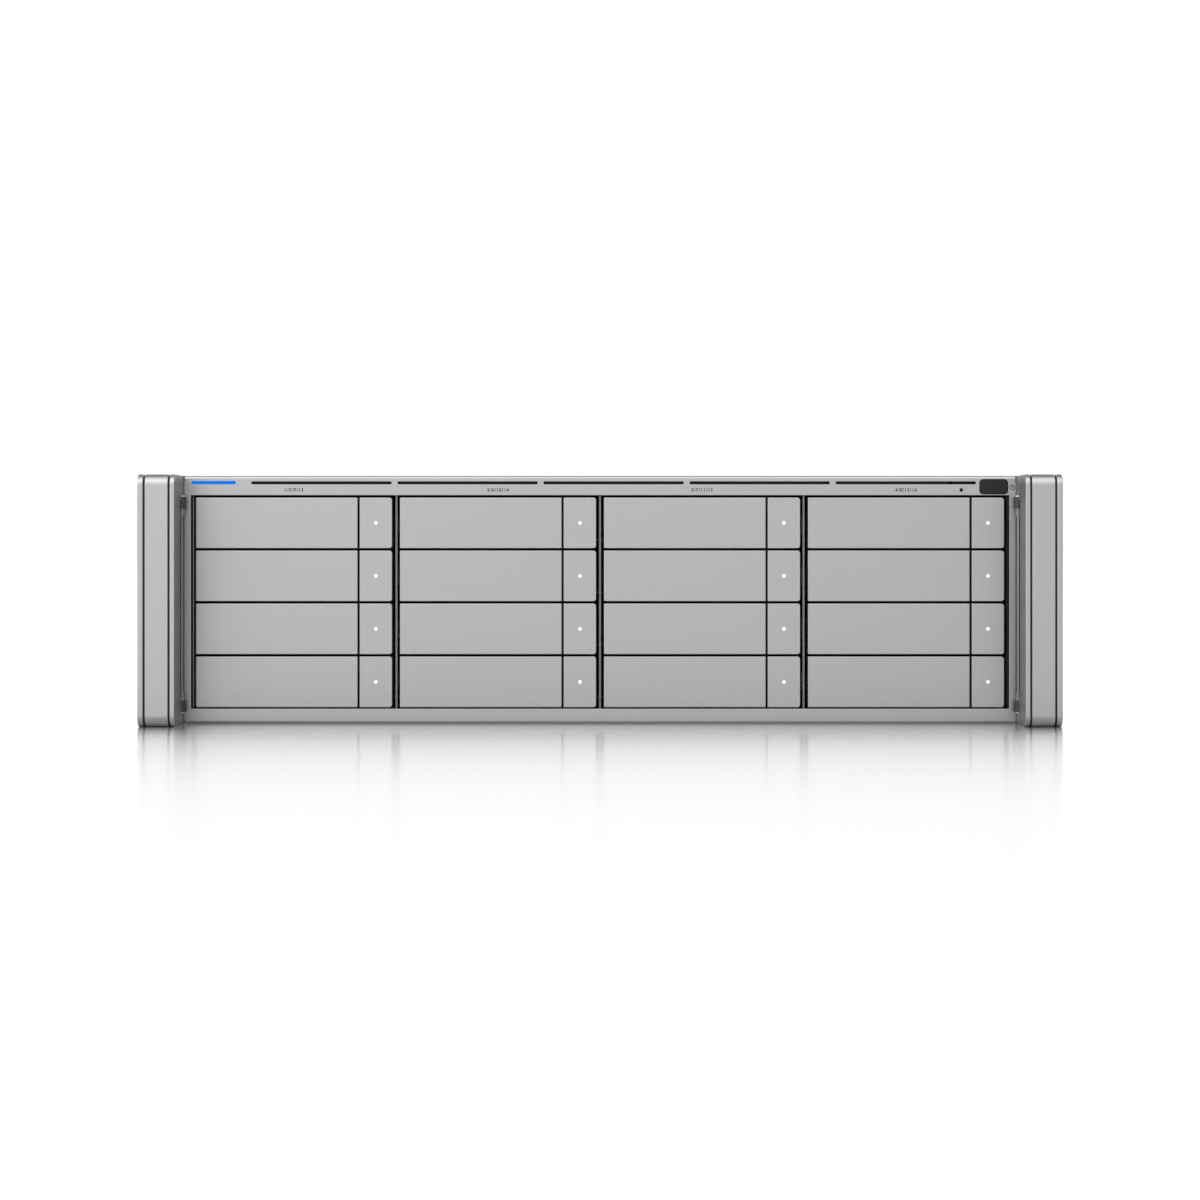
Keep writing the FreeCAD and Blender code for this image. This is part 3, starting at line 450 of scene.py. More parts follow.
def written(text, x, y, z, height, spacing, bold):
    """Plain numbers and signs as a flat shape just before y, centred on x and z."""
    curve = bpy.data.curves.new("writing", "FONT")
    curve.body = text
    curve.align_x = "CENTER"
    curve.align_y = "CENTER"
    curve.size = height / DIGIT_SHARE
    curve.space_character = spacing
    curve.offset = height * bold
    curve.resolution_u = 3
    writing = bpy.data.objects.new("writing", curve)
    bpy.context.scene.collection.objects.link(writing)
    bpy.context.view_layer.update()
    flat = writing.to_mesh()
    part = bmesh.new()
    part.from_mesh(flat)
    writing.to_mesh_clear()
    bpy.data.objects.remove(writing)
    bpy.data.curves.remove(curve)
    bmesh.ops.remove_doubles(part, verts=part.verts, dist=0.0001)
    upright = Matrix.Rotation(math.radians(90), 3, "X")
    bmesh.ops.rotate(part, cent=(0, 0, 0), matrix=upright, verts=part.verts)
    bmesh.ops.translate(part, vec=(x, y - PRINT_DEPTH, z), verts=part.verts)
    return part


# Ear covers, with X given for the right-hand side

EAR_INNER = 221.9
EAR_OUTER = 241.3
EAR_BACK = FACE_Y - 0.3
EAR_WALL = 2.4
EAR_CORNER = 5.8
EAR_CORNER_STEPS = 16
EAR_EDGE = 0.35
EAR_OUTER_EDGE = 0.45
EAR_CHAMFER = 1.5
GROOVES = (224.85, 237.85)
GROOVE = 0.95
GROOVE_DEPTH = 0.9
GROOVE_OVERLAP = 0.2
PIN_X = 222.4
PIN_Y = FACE_Y - 5.5
INNER_WALL_REAR = -247.0
SCREW_ROOM_Z = (13.4, 118.6)
LUG_ROOM_Z = (6.1, 121.0)
LUG_ROOM = 3.15
KNUCKLES_Z = ((12.9, 16.7), (110.4, 114.2))
KNUCKLE_RADII = (2.0, 0.86)
KNUCKLE_WEB_X = (PIN_X + 0.95, PIN_X + 2.0)
KNUCKLE_WEB_Y = (-248.0, PIN_Y)


def ear_outline(inset):
    """The side view (y, z) of an ear cover, set in by an amount at the top, front and bottom."""
    radius = EAR_CORNER - inset
    front = EAR_FRONT_Y + inset
    outline = [(EAR_BACK, inset)]
    for begin, middle_z in ((270, inset + radius), (180, HEIGHT - inset - radius)):
        for step in range(EAR_CORNER_STEPS + 1):
            turn = math.radians(begin - 90 * step / EAR_CORNER_STEPS)
            outline.append((front + radius + radius * math.cos(turn), middle_z + radius * math.sin(turn)))
    outline.append((EAR_BACK, HEIGHT - inset))
    return outline


def hollow_outline(inset):
    """An ear cover's section as an open channel: round outside, chamfered inside."""
    front = EAR_FRONT_Y + EAR_WALL
    top = HEIGHT - EAR_WALL
    inside = [(EAR_BACK, top), (front + EAR_CHAMFER, top), (front, top - EAR_CHAMFER),
              (front, EAR_WALL + EAR_CHAMFER), (front + EAR_CHAMFER, EAR_WALL), (EAR_BACK, EAR_WALL)]
    return ear_outline(inset) + inside


def inner_wall_outline():
    """The inner side wall, cut back for the screws and for the hinge lugs."""
    lug_front = PIN_Y - LUG_ROOM
    cut = [(EAR_BACK, LUG_ROOM_Z[1]), (lug_front, LUG_ROOM_Z[1]), (lug_front, SCREW_ROOM_Z[1]),
           (INNER_WALL_REAR, SCREW_ROOM_Z[1]), (INNER_WALL_REAR, SCREW_ROOM_Z[0]),
           (lug_front, SCREW_ROOM_Z[0]), (lug_front, LUG_ROOM_Z[0]), (EAR_BACK, LUG_ROOM_Z[0])]
    return ear_outline(0.0) + cut


def ear_cover(side, name):
    """A silver cover: inner, middle and outer bands with two grooves, and its hinge knuckles; the grooves
    are painted black, and the inner side wall and the knuckles a darker grey, as painted shade.
    """
    piece = Piece()

    # The inner side wall takes the darker grey as painted shade.
    def shaded_cheek(middle, normal):
        return EAR_SHADE if normal.x * side < -0.9 else None

    half = GROOVE / 2
    low, high = on_side(side, EAR_INNER, GROOVES[0] - half)
    piece.add(prism(inner_wall_outline(), 0, low, high, EAR_EDGE, 3), SILVER, shaded_cheek)
    low, high = on_side(side, GROOVES[0] + half, GROOVES[1] - half)
    piece.add(prism(hollow_outline(0.0), 0, low, high, EAR_EDGE, 3), SILVER)
    low, high = on_side(side, GROOVES[1] + half, EAR_OUTER)
    piece.add(prism(ear_outline(0.0), 0, low, high, EAR_OUTER_EDGE, 3), SILVER)
    # The grooves are painted black as shade.
    for groove in GROOVES:
        low, high = on_side(side, groove - half - GROOVE_OVERLAP, groove + half + GROOVE_OVERLAP)
        piece.add(prism(hollow_outline(GROOVE_DEPTH), 0, low, high), GAP_SHADE)
    # The hinge knuckles are in the darker grey of painted shade.
    for low, high in KNUCKLES_Z:
        piece.add(tube(2, (side * PIN_X, PIN_Y), *KNUCKLE_RADII, low, high, 28), EAR_SHADE)
        piece.add(block(on_side(side, *KNUCKLE_WEB_X), KNUCKLE_WEB_Y, (low, high)), EAR_SHADE)
    piece.place(name, name, (name,), "silver_face")


# Rack brackets

PIN_REACH = 0.9
SLEEVE_RADII = (0.98, 0.83)
SLEEVE_Z = (17.0, 110.1)
WASHER_RADII = (1.9, 0.85)
WASHERS_Z = ((12.6, 12.85), (114.25, 114.5))
PIN_ENDS = ((6.5, -1), (120.6, 1))
PIN_HEAD_RADIUS = 1.7
SHADED_GAP_STRIP_X = (221.5, 223.2)
SHADED_GAP_STRIP_Y = (FACE_Y - 0.06, FACE_Y + 0.1)
SHADED_GAP_STRIP_Z = (0.5, 131.5)
LEG_OUTSIDE = BODY_HALF + 2.0
LEG_SCREWS = ((-205, 24), (-205, 108), (-170, 24), (-170, 108), (-188, 66))


def hinge_pin(piece, x):
    """The bright part of a hinge pin, with its washers and round heads; the heads' very light grey is a
    painted glint.
    """
    piece.add(tube(2, (x, PIN_Y), *SLEEVE_RADII, *SLEEVE_Z, 20), PIN)
    for low, high in WASHERS_Z:
        piece.add(tube(2, (x, PIN_Y), *WASHER_RADII, low, high, 24), PIN)
    for z, outward in PIN_ENDS:
        low, high = through_face(z, outward, 0.1, 0.8)
        piece.add(rod(2, (x, PIN_Y), PIN_HEAD_RADIUS, low, high, 0.3, 24), PIN_HEAD_GLINT)


def rack_brackets():
    """The black angle brackets with their hinge lugs, the bright pins and the screws into the box."""
    piece = Piece()

    def pick(middle, normal):
        on_pin = abs(abs(middle.x) - PIN_X) < PIN_REACH and abs(middle.y - PIN_Y) < PIN_REACH
        return PIN if on_pin else None

    piece.add(from_node("rack_brackets"), BRACKET, pick)
    for side in SIDES:
        hinge_pin(piece, side * PIN_X)
        # A strip in the gap between ear and front plate, in the darker grey of painted shade.
        piece.add(block(on_side(side, *SHADED_GAP_STRIP_X), SHADED_GAP_STRIP_Y, SHADED_GAP_STRIP_Z), EAR_SHADE)
        for y, z in LEG_SCREWS:
            screw(piece, 0, (y, z), side * LEG_OUTSIDE, side, 3.0, 0.8)
    piece.place("rack_brackets_black", "chassis", ("rack_brackets",), "bracket_black")


# Front frame

FRAME_INSIDE_X = 219
FRAME_INSIDE_Z = (1.2, 130.9)
FRAME_SHADE_FROM = FACE_Y + 0.4
OPENING_HALF = 218.5
OPENING_Z = (7.0, 122.0)
OPENING_EDGE = 0.35
SLIT_BACKING_X = (-186, 186)
SLIT_BACKING_Y = (FACE_Y + 2.05, FACE_Y + 3.0)
SLIT_BACKING_Z = (126.6, 130.0)
RESET_HOLE = (192.55, 124.5)
RESET_BACKING_RADIUS = 1.6
END_STRIP_X = (BODY_HALF - 0.1, BODY_HALF + 0.5)
END_STRIP_Y = (FACE_Y + 0.15, FACE_Y + 1.5)
END_STRIP_Z = (2.5, 129.0)


def front_frame():
    """The folded front plate; the insides of the slits and of the windows are painted black as shade."""
    piece = Piece()

    def pick(middle, normal):
        inside = abs(middle.x) < FRAME_INSIDE_X and FRAME_INSIDE_Z[0] < middle.z < FRAME_INSIDE_Z[1]
        return GAP_SHADE if inside and middle.y > FRAME_SHADE_FROM else None

    def round_the_opening(middle):
        at_bays = abs(middle.x) < OPENING_HALF and OPENING_Z[0] < middle.z < OPENING_Z[1]
        return at_bays and middle.y < FACE_Y + 0.01

    shell = from_node("front_frame")
    soften(shell, OPENING_EDGE, 2, 40.0, round_the_opening)
    piece.add(shell, SILVER, pick)
    # Black sheets behind the slits and the reset hole are painted shade.
    piece.add(block(SLIT_BACKING_X, SLIT_BACKING_Y, SLIT_BACKING_Z), GAP_SHADE)
    piece.add(rod(1, RESET_HOLE, RESET_BACKING_RADIUS, FACE_Y + 1.6, FACE_Y + 2.4), GAP_SHADE)
    for side in SIDES:
        piece.add(block(on_side(side, *END_STRIP_X), END_STRIP_Y, END_STRIP_Z), SILVER)
    piece.place("front_frame_silver", "chassis", ("front_frame",), "silver_face")


# Print on the front frame

BAY_NUMBERS_Z = 124.45
BAY_NUMBERS_HEIGHT = 1.75
BAY_NUMBERS_SPACING = 1.2
BAY_NUMBERS_BOLD = 0.03
MARK_Y = (FACE_Y - 0.05, FACE_Y + 0.1)
RING = (219.7, 125.9)
RING_RADII = (1.45, 1.1)
STROKE_X = (219.5, 219.9)
STROKE_Z = (125.6, 127.0)


def column_middle(column):
    """Where a column of bays has its middle, with column 0 at the left."""
    return (column - (COLUMNS - 1) / 2) * COLUMN_PITCH


def printed_marks():
    """The numbers of the bays above each column, and a plain ring with a stroke beside the key."""
    marks = Piece()
    for column in range(COLUMNS):
        text = "/".join(str(column + 1 + COLUMNS * row) for row in range(ROWS))
        numbers = written(text, column_middle(column), FACE_Y, BAY_NUMBERS_Z, BAY_NUMBERS_HEIGHT,
                          BAY_NUMBERS_SPACING, BAY_NUMBERS_BOLD)
        marks.add(numbers, PRINT)
    marks.add(tube(1, RING, *RING_RADII, *MARK_Y, 28), PRINT)
    marks.add(block(STROKE_X, MARK_Y, STROKE_Z), PRINT)
    marks.place("printed_marks", "chassis", (), "black_plastic")


# Power key

KEY_X = 209.85
KEY_Z = 126.2
KEY_SIZE = (15.0, 7.8, 1.9)
KEY_RIM_SIZE = (14.3, 7.1, 1.7)
KEY_FIELD_SIZE = (13.8, 6.6, 1.5)
KEY_STEM_RADIUS = 2.0


def key_outline(size):
    """The key's round-cornered outline from its width, height and corner radius."""
    width, height, corner = size
    return round_rectangle(centred(KEY_X, width), centred(KEY_Z, height), (corner,) * 4)


def power_key():
    """The dark power key with its rim and its stem."""
    piece = Piece()
    piece.add(prism(key_outline(KEY_SIZE), 1, FACE_Y - 0.3, FACE_Y + 2.8, 0.3, 3), KEY)
    piece.add(prism(key_outline(KEY_RIM_SIZE), 1, FACE_Y - 0.31, FACE_Y), KEY_RIM)
    piece.add(prism(key_outline(KEY_FIELD_SIZE), 1, FACE_Y - 0.34, FACE_Y, 0.05, 1), KEY)
    piece.add(rod(1, (KEY_X, KEY_Z), KEY_STEM_RADIUS, FACE_Y + 2.7, FACE_Y + 4.4), PLASTIC)
    piece.place("power_key", "power_button", ("power_button",), "dark_key")


# Lever and button of a bay, from the tray's left lower front corner

PLATE_EDGE = 0.38
PLATE_SHADE_FROM = 0.45
LEVER_WIDTH = 86.3
LEVER_SHEET = 1.2
LEVER_CORNER = 0.4
RETURN_X = (8, 86.28)
RETURN_END_X = (85.3, 86.28)
RETURN_Y = (1.0, 6.5)
RETURNS_Z = ((0.02, 1.0), (26.1, 27.08))
HINGE = (3.5, 3.0)
HINGE_WEB_X = (1.9, 5.1)
HINGE_WEB_Y = (1.1, 2.4)
BARREL_RADII = (1.8, 0.76)
BARREL_Z = (6.3, 20.8)
CLAW = ((3.5, 1.9), (0.4, 3.4), (-1.2, 6.4), (-1.2, 8.0), (0.8, 8.0), (3.0, 5.0), (2.3, 3.6), (2.6, 2.3))
CLAW_Z = (9.3, 17.8)
STRIKER = ((82.3, 1.1), (84.3, 1.1), (84.3, 9.5), (84.9, 10.5), (82.9, 12.5), (82.3, 12.5))
STRIKER_Z = (10.5, 16.6)
BUTTON_START = 87.3
BUTTON_CORNERS = (0.3, 1.5, 1.5, 0.3)
BUTTON_SHEET = 1.5
BUTTON_DEPTH = 5.0
BUTTON_INSET = 0.02
STEM_OFFSET = 1.0
STEM_WIDTH = 7.0
STEM_HEIGHT = 9.0
STEM_Y = (4.9, 13.5)
LED_RIM_RADIUS = 1.05
LED_RADIUS = 0.75


def bay_corner(column, row):
    """The left lower front corner of a tray, with row 0 at the top."""
    return (column_middle(column) - TRAY_WIDTH / 2, FACE_Y, TOP_ROW_Z - row * ROW_PITCH)


def plate_side_shade(middle, normal):
    """The sides and the back of a front plate take the black plastic as painted shade, so that the gaps stay
    dark.
    """
    return PLASTIC if middle.y > PLATE_SHADE_FROM else None


def plate_front(middle):
    """Whether an edge lies on the front of a front plate."""
    return middle.y < 0.01


def lever_piece():
    """The latch lever: plate with its returns, round hinge barrel, claw and striker."""
    piece = Piece()
    rim = round_rectangle((0, LEVER_WIDTH), (0, TRAY_HEIGHT), (LEVER_CORNER,) * 4, 3)
    piece.add(prism(rim, 1, 0.0, LEVER_SHEET, PLATE_EDGE, 3, plate_front), SILVER, plate_side_shade)
    for low, high in RETURNS_Z:
        piece.add(block(RETURN_X, RETURN_Y, (low, high), 0.15, 1), PLASTIC)
    piece.add(block(RETURN_END_X, RETURN_Y, (RETURNS_Z[0][0], RETURNS_Z[1][1]), 0.15, 1), PLASTIC)
    piece.add(block(HINGE_WEB_X, HINGE_WEB_Y, BARREL_Z, 0.1, 1), PLASTIC)
    piece.add(tube(2, HINGE, *BARREL_RADII, *BARREL_Z, 28), PLASTIC)
    piece.add(prism(CLAW, 2, *CLAW_Z, 0.2, 2), PLASTIC)
    piece.add(prism(STRIKER, 2, *STRIKER_Z, 0.2, 2), PLASTIC)
    return piece


def button_piece():
    """The release button with its stem and its white light dot."""
    piece = Piece()
    cap = round_rectangle((BUTTON_START, TRAY_WIDTH), (0, TRAY_HEIGHT), BUTTON_CORNERS)
    piece.add(prism(cap, 1, 0.0, BUTTON_SHEET, PLATE_EDGE, 3, plate_front), SILVER, plate_side_shade)
    wall_x = (BUTTON_START + BUTTON_INSET, TRAY_WIDTH - BUTTON_INSET)
    wall_z = (BUTTON_INSET, TRAY_HEIGHT - BUTTON_INSET)
    piece.add(prism(round_rectangle(wall_x, wall_z, BUTTON_CORNERS), 1, 1.3, BUTTON_DEPTH), PLASTIC)
    middle_x = (BUTTON_START + TRAY_WIDTH) / 2
    middle_z = TRAY_HEIGHT / 2
    stem_x = centred(middle_x + STEM_OFFSET, STEM_WIDTH)
    piece.add(block(stem_x, STEM_Y, centred(middle_z, STEM_HEIGHT), 0.3, 1), PLASTIC)
    piece.add(rod(1, (middle_x, middle_z), LED_RIM_RADIUS, -0.03, 1.0, 0.03, 28), LED_RIM)
    piece.add(rod(1, (middle_x, middle_z), LED_RADIUS, -0.06, 1.0, 0.03, 24), WHITE_LED)
    return piece


# Carrier and drive of a bay, from the same corner

LATCH_BLOCK_REAR = 16.05
DRIVE_X = (1.45, TRAY_WIDTH - 1.45)
DRIVE_LOW_Z = 0.85
DRIVE_TOP_Z = 26.8
LABEL_X = (22, 82)
LABEL_Y = (45, 128)
LABEL_Z = (26.88, 26.98)
LABEL_PRINT_Z = (26.95, 27.02)
LABEL_BARS = ((32, 12), (50, 16), (68, 10))
LABEL_BARS_Y = (52, 54.5)
LABEL_LINES = (((28, 76), (60, 61.2)), ((28, 60), (66, 67.2)))
DRIVE_SCREWS = ((8, 25), (97, 25), (8, 92), (97, 92), (8, 158), (97, 158))
DRIVE_RING = (52.3, 88)
DRIVE_RING_RADII = (34.0, 33.4)
DRIVE_RING_Z = (26.85, 26.93)
RAIL_SCREWS_X = (-0.15, TRAY_WIDTH - 0.35)
RAIL_SCREWS_Y = (45, 140)
RAIL_SCREWS_Z = 10.5


def drive_label(piece):
    """The paper label on a drive's lid, with dark bars and lines and no words."""
    piece.add(block(LABEL_X, LABEL_Y, LABEL_Z), LABEL)
    for x, width in LABEL_BARS:
        piece.add(block(centred(x, width), LABEL_BARS_Y, LABEL_PRINT_Z), CHIP)
    for x, y in LABEL_LINES:
        piece.add(block(x, y, LABEL_PRINT_Z), CHIP)


def tray_piece():
    """The carrier from the CAD shape with its drive, label and screws."""
    piece = Piece()
    carrier = from_node("tray_01")
    bmesh.ops.translate(carrier, vec=[-value for value in bay_corner(0, 0)], verts=carrier.verts)

    def pick(middle, normal):
        if middle.y < LATCH_BLOCK_REAR:
            return PLASTIC
        if DRIVE_X[0] < middle.x < DRIVE_X[1] and middle.z > DRIVE_LOW_Z:
            return DISK_LID if middle.z > DRIVE_TOP_Z else CAST
        return None

    piece.add(carrier, STEEL, pick)
    drive_label(piece)
    for place in DRIVE_SCREWS:
        piece.add(rod(2, place, 1.8, 26.5, 27.05, 0.1, 16), STEEL)
    piece.add(tube(2, DRIVE_RING, *DRIVE_RING_RADII, *DRIVE_RING_Z, 48), CAST)
    for x in RAIL_SCREWS_X:
        for y in RAIL_SCREWS_Y:
            piece.add(rod(0, (y, RAIL_SCREWS_Z), 2.4, x, x + 0.5, 0.1, 16), STEEL)
    return piece


def bays():
    """All sixteen bays, numbered along the rows from the top left."""
    lever = lever_piece()
    button = button_piece()
    tray = tray_piece()
    for row in range(ROWS):
        for column in range(COLUMNS):
            number = "%02d" % (row * COLUMNS + column + 1)
            corner = bay_corner(column, row)
            tray.place("carrier_" + number, "tray_" + number, ("tray_" + number,), "tray_metal", corner)
            lever.place("latch_" + number, "lever_" + number, ("lever_" + number,), "silver_face", corner)
            button.place("release_" + number, "button_" + number, ("button_" + number,), "silver_face",
                         corner)


# Drive cage

CAGE_FRONT_Y = -229.9
OUTER_SHEET_X = 215
HIGHLIGHT_STRIP_X = (-217.4, -216.85)
HIGHLIGHT_STRIP_Y = (FACE_Y + 3.9, FACE_Y + 4.1)
HIGHLIGHT_STRIP_Z = (8.5, 121.0)


def drive_cage():
    """The cage of steel sheets; the front edges between the columns and a thin strip in the left gap are a
    lighter grey as painted highlight, the outer sheets' front edges near-black as painted shade.
    """
    piece = Piece()

    def pick(middle, normal):
        if normal.y < -0.9 and middle.y < CAGE_FRONT_Y:
            return CAGE_EDGE_SHADE if abs(middle.x) > OUTER_SHEET_X else CAGE_EDGE_HIGHLIGHT
        return None

    piece.add(from_node("drive_cage"), CAGE, pick)
    # A thin strip of painted highlight in the left gap.
    piece.add(block(HIGHLIGHT_STRIP_X, HIGHLIGHT_STRIP_Y, HIGHLIGHT_STRIP_Z), CAGE_EDGE_HIGHLIGHT)
    piece.place("drive_cage_steel", "chassis", ("drive_cage",), "cage_steel")


# Box

RIVETS_Y = (-195, -130, -65, 0, 65, 130, 195)
RIVETS_Z = 12
RIVET_RADIUS = 1.9
RIVET_X = (BODY_HALF - 0.1, BODY_HALF + 0.45)
SIDE_SCREWS_Y = (-190, -60, 70, 200)
REAR_SCREWS_X = (-140, -110, 60, 120)
LID_FLANGE_Z = 126
SLOT_SCREWS_X = (-196.0, -175.7, -155.4)
SLOT_SCREWS_Z = 118
LID_SCREWS_X = (-208, -70, 70, 208)
LID_SCREWS_Y = (-205, 15, 236)


def chassis_base():
    """The folded base with its rivets, and the screws of the lid's flanges and the slot covers."""
    piece = Piece()
    piece.add(from_node("chassis_base"), STEEL)
    for side in SIDES:
        low, high = on_side(side, *RIVET_X)
        for y in RIVETS_Y:
            piece.add(rod(0, (y, RIVETS_Z), RIVET_RADIUS, low, high, 0.25, 20), STEEL)
        for y in SIDE_SCREWS_Y:
            screw(piece, 0, (y, LID_FLANGE_Z), side * BODY_HALF, side, 2.4, 0.6)
    for x in REAR_SCREWS_X:
        screw(piece, 1, (x, LID_FLANGE_Z), REAR_Y, 1, 2.4, 0.8)
    for x in SLOT_SCREWS_X:
        screw(piece, 1, (x, SLOT_SCREWS_Z), REAR_Y, 1, 2.6, 1.4)
    piece.place("chassis_base_steel", "chassis", ("chassis_base",), "case_steel")


def top_cover():
    """The lid with its screws."""
    piece = Piece()
    piece.add(from_node("top_cover"), STEEL)
    for x in LID_SCREWS_X:
        for y in LID_SCREWS_Y:
            screw(piece, 2, (x, y), HEIGHT - 0.1, 1, 2.8, 0.5)
    piece.place("top_cover_steel", "chassis", ("top_cover",), "case_steel")


# Power supplies

SUPPLIES = (("psu_upper", 49.0), ("psu_lower", 5.0))
SUPPLY_MIDDLE = 20.0
RECESS_Y = 231
INLET_X = 157.0
INLET_HALF = (12.1, 8.3)
INLET_REAR_Y = 247.4
HANDLE_X = 191.0
HANDLE_HALF = 21
HANDLE_START_Y = 249
LATCH_START_Y = 247.6
LATCH_END_X = 163
AIR_SLOTS_HALF = (15.1, 15)
AIR_SLOTS_REAR_Y = 247.3
STATUS_LIGHT_X = 145.0
STATUS_LIGHT_RISE = 35.0
STATUS_LIGHT_Y = (247.0, 248.0)


def power_supply(name, low):
    """A supply with dark inlet, air slots, handle and latch tab, and a small green light."""
    piece = Piece()
    middle = low + SUPPLY_MIDDLE

    def pick(point, normal):
        from_inlet = abs(point.x - INLET_X)
        from_handle = abs(point.x - HANDLE_X)
        from_middle = abs(point.z - middle)
        at_inlet = from_inlet < INLET_HALF[0] and from_middle < INLET_HALF[1]
        at_slots = from_handle < AIR_SLOTS_HALF[0] and from_middle < AIR_SLOTS_HALF[1]
        if at_inlet and RECESS_Y < point.y < INLET_REAR_Y:
            return PLASTIC
        if point.y > HANDLE_START_Y and from_handle < HANDLE_HALF:
            return PLASTIC
        if point.y > LATCH_START_Y and point.x < LATCH_END_X:
            return PLASTIC
        # The air slots are painted black as shade.
        if at_slots and RECESS_Y < point.y < AIR_SLOTS_REAR_Y:
            return GAP_SHADE
        return None

    piece.add(from_node(name), SUPPLY, pick)
    light = (STATUS_LIGHT_X, low + STATUS_LIGHT_RISE)
    piece.add(rod(1, light, 1.3, *STATUS_LIGHT_Y, 0.2, 16), GREEN_LED)
    piece.place(name + "_case", name, (name,), "supply_case")


# Boards

BOARD_TOP_Z = 9.6
SHADED_BOARDS_Y = -200.0
LENS_FRONT_Y = -228.0
LENS_END_X = -190
LENS_LOW_Z = 127.4
SOCKETS_START_Y = 227.0
SOCKET_FACE_Y = 246.5
COOLER_ROOM = ((-60.1, 20.1), (59.9, 142.1), (9.65, 44))
MEMORY_ROOM = ((42, 74), (49.9, 183.1), (9.7, HEIGHT))
MEMORY_CHIPS_Z = 16
CONNECTORS_Y = (-70, -63.0)
CONNECTOR_FRONT_Y = -64.5
CONNECTORS_TOP_Z = 121.6
LENS_X = -205.95
LENS_Z = 128.4
LENS_SIZE = (23.86, 1.76, 0.87)
CHIP_LOW_Z = 9.5
CHIPS = ((-150, 60, 24, 24, 2.4), (-150, 120, 14, 14, 1.6), (-100, 170, 18, 12, 1.6),
         (100, 120, 20, 20, 1.8), (-190, 190, 12, 30, 8.0), (95, 60, 12, 40, 9.0))
CAPACITORS = 8
CAPACITORS_X = -84.0
CAPACITORS_START_Y = 52.0
CAPACITOR_PITCH = 12
CAPACITOR_RADIUS = 3.4
CAPACITOR_TOP_Z = 19.0


def within(point, room):
    """Whether a point lies between a room's limits along X, Y and Z."""
    return all(low < value < high for value, (low, high) in zip(point, room))


def board_finish(middle, normal):
    """What a face of the boards belongs to: lens, sockets, cooler, memory or drive connectors; the boards'
    front ends, seen through the slits, are painted black as shade.
    """
    x, y, z = middle
    if y < LENS_FRONT_Y and x < LENS_END_X and z > LENS_LOW_Z:
        return BLUE
    # Painted shade: the boards' front ends are black so the slits stay dark.
    if y < SHADED_BOARDS_Y:
        return CHIP
    if y > SOCKETS_START_Y and z > BOARD_TOP_Z:
        return STEEL if normal.y > 0.9 and y > SOCKET_FACE_Y else CHIP
    if within(middle, COOLER_ROOM):
        return FIN
    if within(middle, MEMORY_ROOM):
        return CHIP if z > MEMORY_CHIPS_Z and abs(normal.x) < 0.5 else BOARD
    behind_drives = CONNECTORS_Y[0] < y < CONNECTORS_Y[1] and z < CONNECTORS_TOP_Z
    if behind_drives and (y < CONNECTOR_FRONT_Y or abs(normal.y) < 0.5):
        return CHIP
    return None


def light_lens():
    """The light bar's lens, close behind its slot in the frame."""
    width, height, corner = LENS_SIZE
    outline = round_rectangle(centred(LENS_X, width), centred(LENS_Z, height), (corner,) * 4, 6)
    return prism(outline, 1, FACE_Y + 0.1, FACE_Y + 2.0)


def boards():
    """Boards, cooler, memory and sockets, with the light bar's lens and a few chips and capacitors."""
    piece = Piece()
    piece.add(from_node("circuit_boards"), BOARD, board_finish)
    piece.add(light_lens(), BLUE)
    for x, y, wide, deep, high in CHIPS:
        z = (CHIP_LOW_Z, BOARD_TOP_Z + high)
        piece.add(block(centred(x, wide), centred(y, deep), z, 0.2, 1), CHIP)
    for index in range(CAPACITORS):
        place = (CAPACITORS_X, CAPACITORS_START_Y + CAPACITOR_PITCH * index)
        piece.add(rod(2, place, CAPACITOR_RADIUS, CHIP_LOW_Z, CAPACITOR_TOP_Z, 0.5, 20), PIN)
    piece.place("boards_and_sockets", "chassis", ("circuit_boards",), "board")


# Fans

FAN_REAR_Y = -25.01


def fans():
    """The fan wall: steel sheet, black frames and rotors."""
    piece = Piece()

    def pick(middle, normal):
        return STEEL if middle.y > FAN_REAR_Y else None

    piece.add(from_node("cooling_fans"), PLASTIC, pick)
    piece.place("fans_and_wall", "chassis", ("cooling_fans",), "black_plastic")


ear_cover(1, "ear_cover_right")
ear_cover(-1, "ear_cover_left")
rack_brackets()
front_frame()
printed_marks()
power_key()
bays()
drive_cage()
chassis_base()
top_cover()
for supply, underside in SUPPLIES:
    power_supply(supply, underside)
boards()
fans()


# Floor, in metres

FLOOR_HALF = 30.0
FLOOR_SHADE_IN_METAL = (0.42, 0.56)
FLOOR_SHADE_FADES = (0.01, 0.2)
FLOOR_WHITE = 0.8
FLOOR_LIFT = 0.062
OBJECT_HALF = (0.24, 0.27, 0.0)
GRAZING_LIFT = 0.45
GRAZING_VIEW = (0.74, 0.9)
MIRROR_START = -0.27
MIRROR_EDGE = (MIRROR_START + 0.05, MIRROR_START + 0.03)
MIRROR_FALL = 4.7
MIRROR_MOST = 0.95
MIRROR_ROUGHNESS = 0.13
MIRROR_SIDES = (0.275, 0.245)
MIRROR_NEAR_END = (-1.6, -1.2)


def floor_tone(tree, place, seen):
    """White for the camera; in the metal's reflections a painted shade, darkest close to the object."""
    outside = tree.nodes.new("ShaderNodeVectorMath")
    outside.operation = "ABSOLUTE"
    feed(tree, outside.inputs[0], place)
    beyond = tree.nodes.new("ShaderNodeVectorMath")
    beyond.operation = "SUBTRACT"
    feed(tree, beyond.inputs[0], outside.outputs["Vector"])
    feed(tree, beyond.inputs[1], OBJECT_HALF)
    sides = along_axes(tree, beyond.outputs["Vector"])
    away = calculate(tree, "MAXIMUM", sides["X"], sides["Y"])
    in_metal = ramp(tree, away, *FLOOR_SHADE_FADES, *FLOOR_SHADE_IN_METAL)
    return blend(tree, seen, in_metal, grey(FLOOR_WHITE), "RGBA")


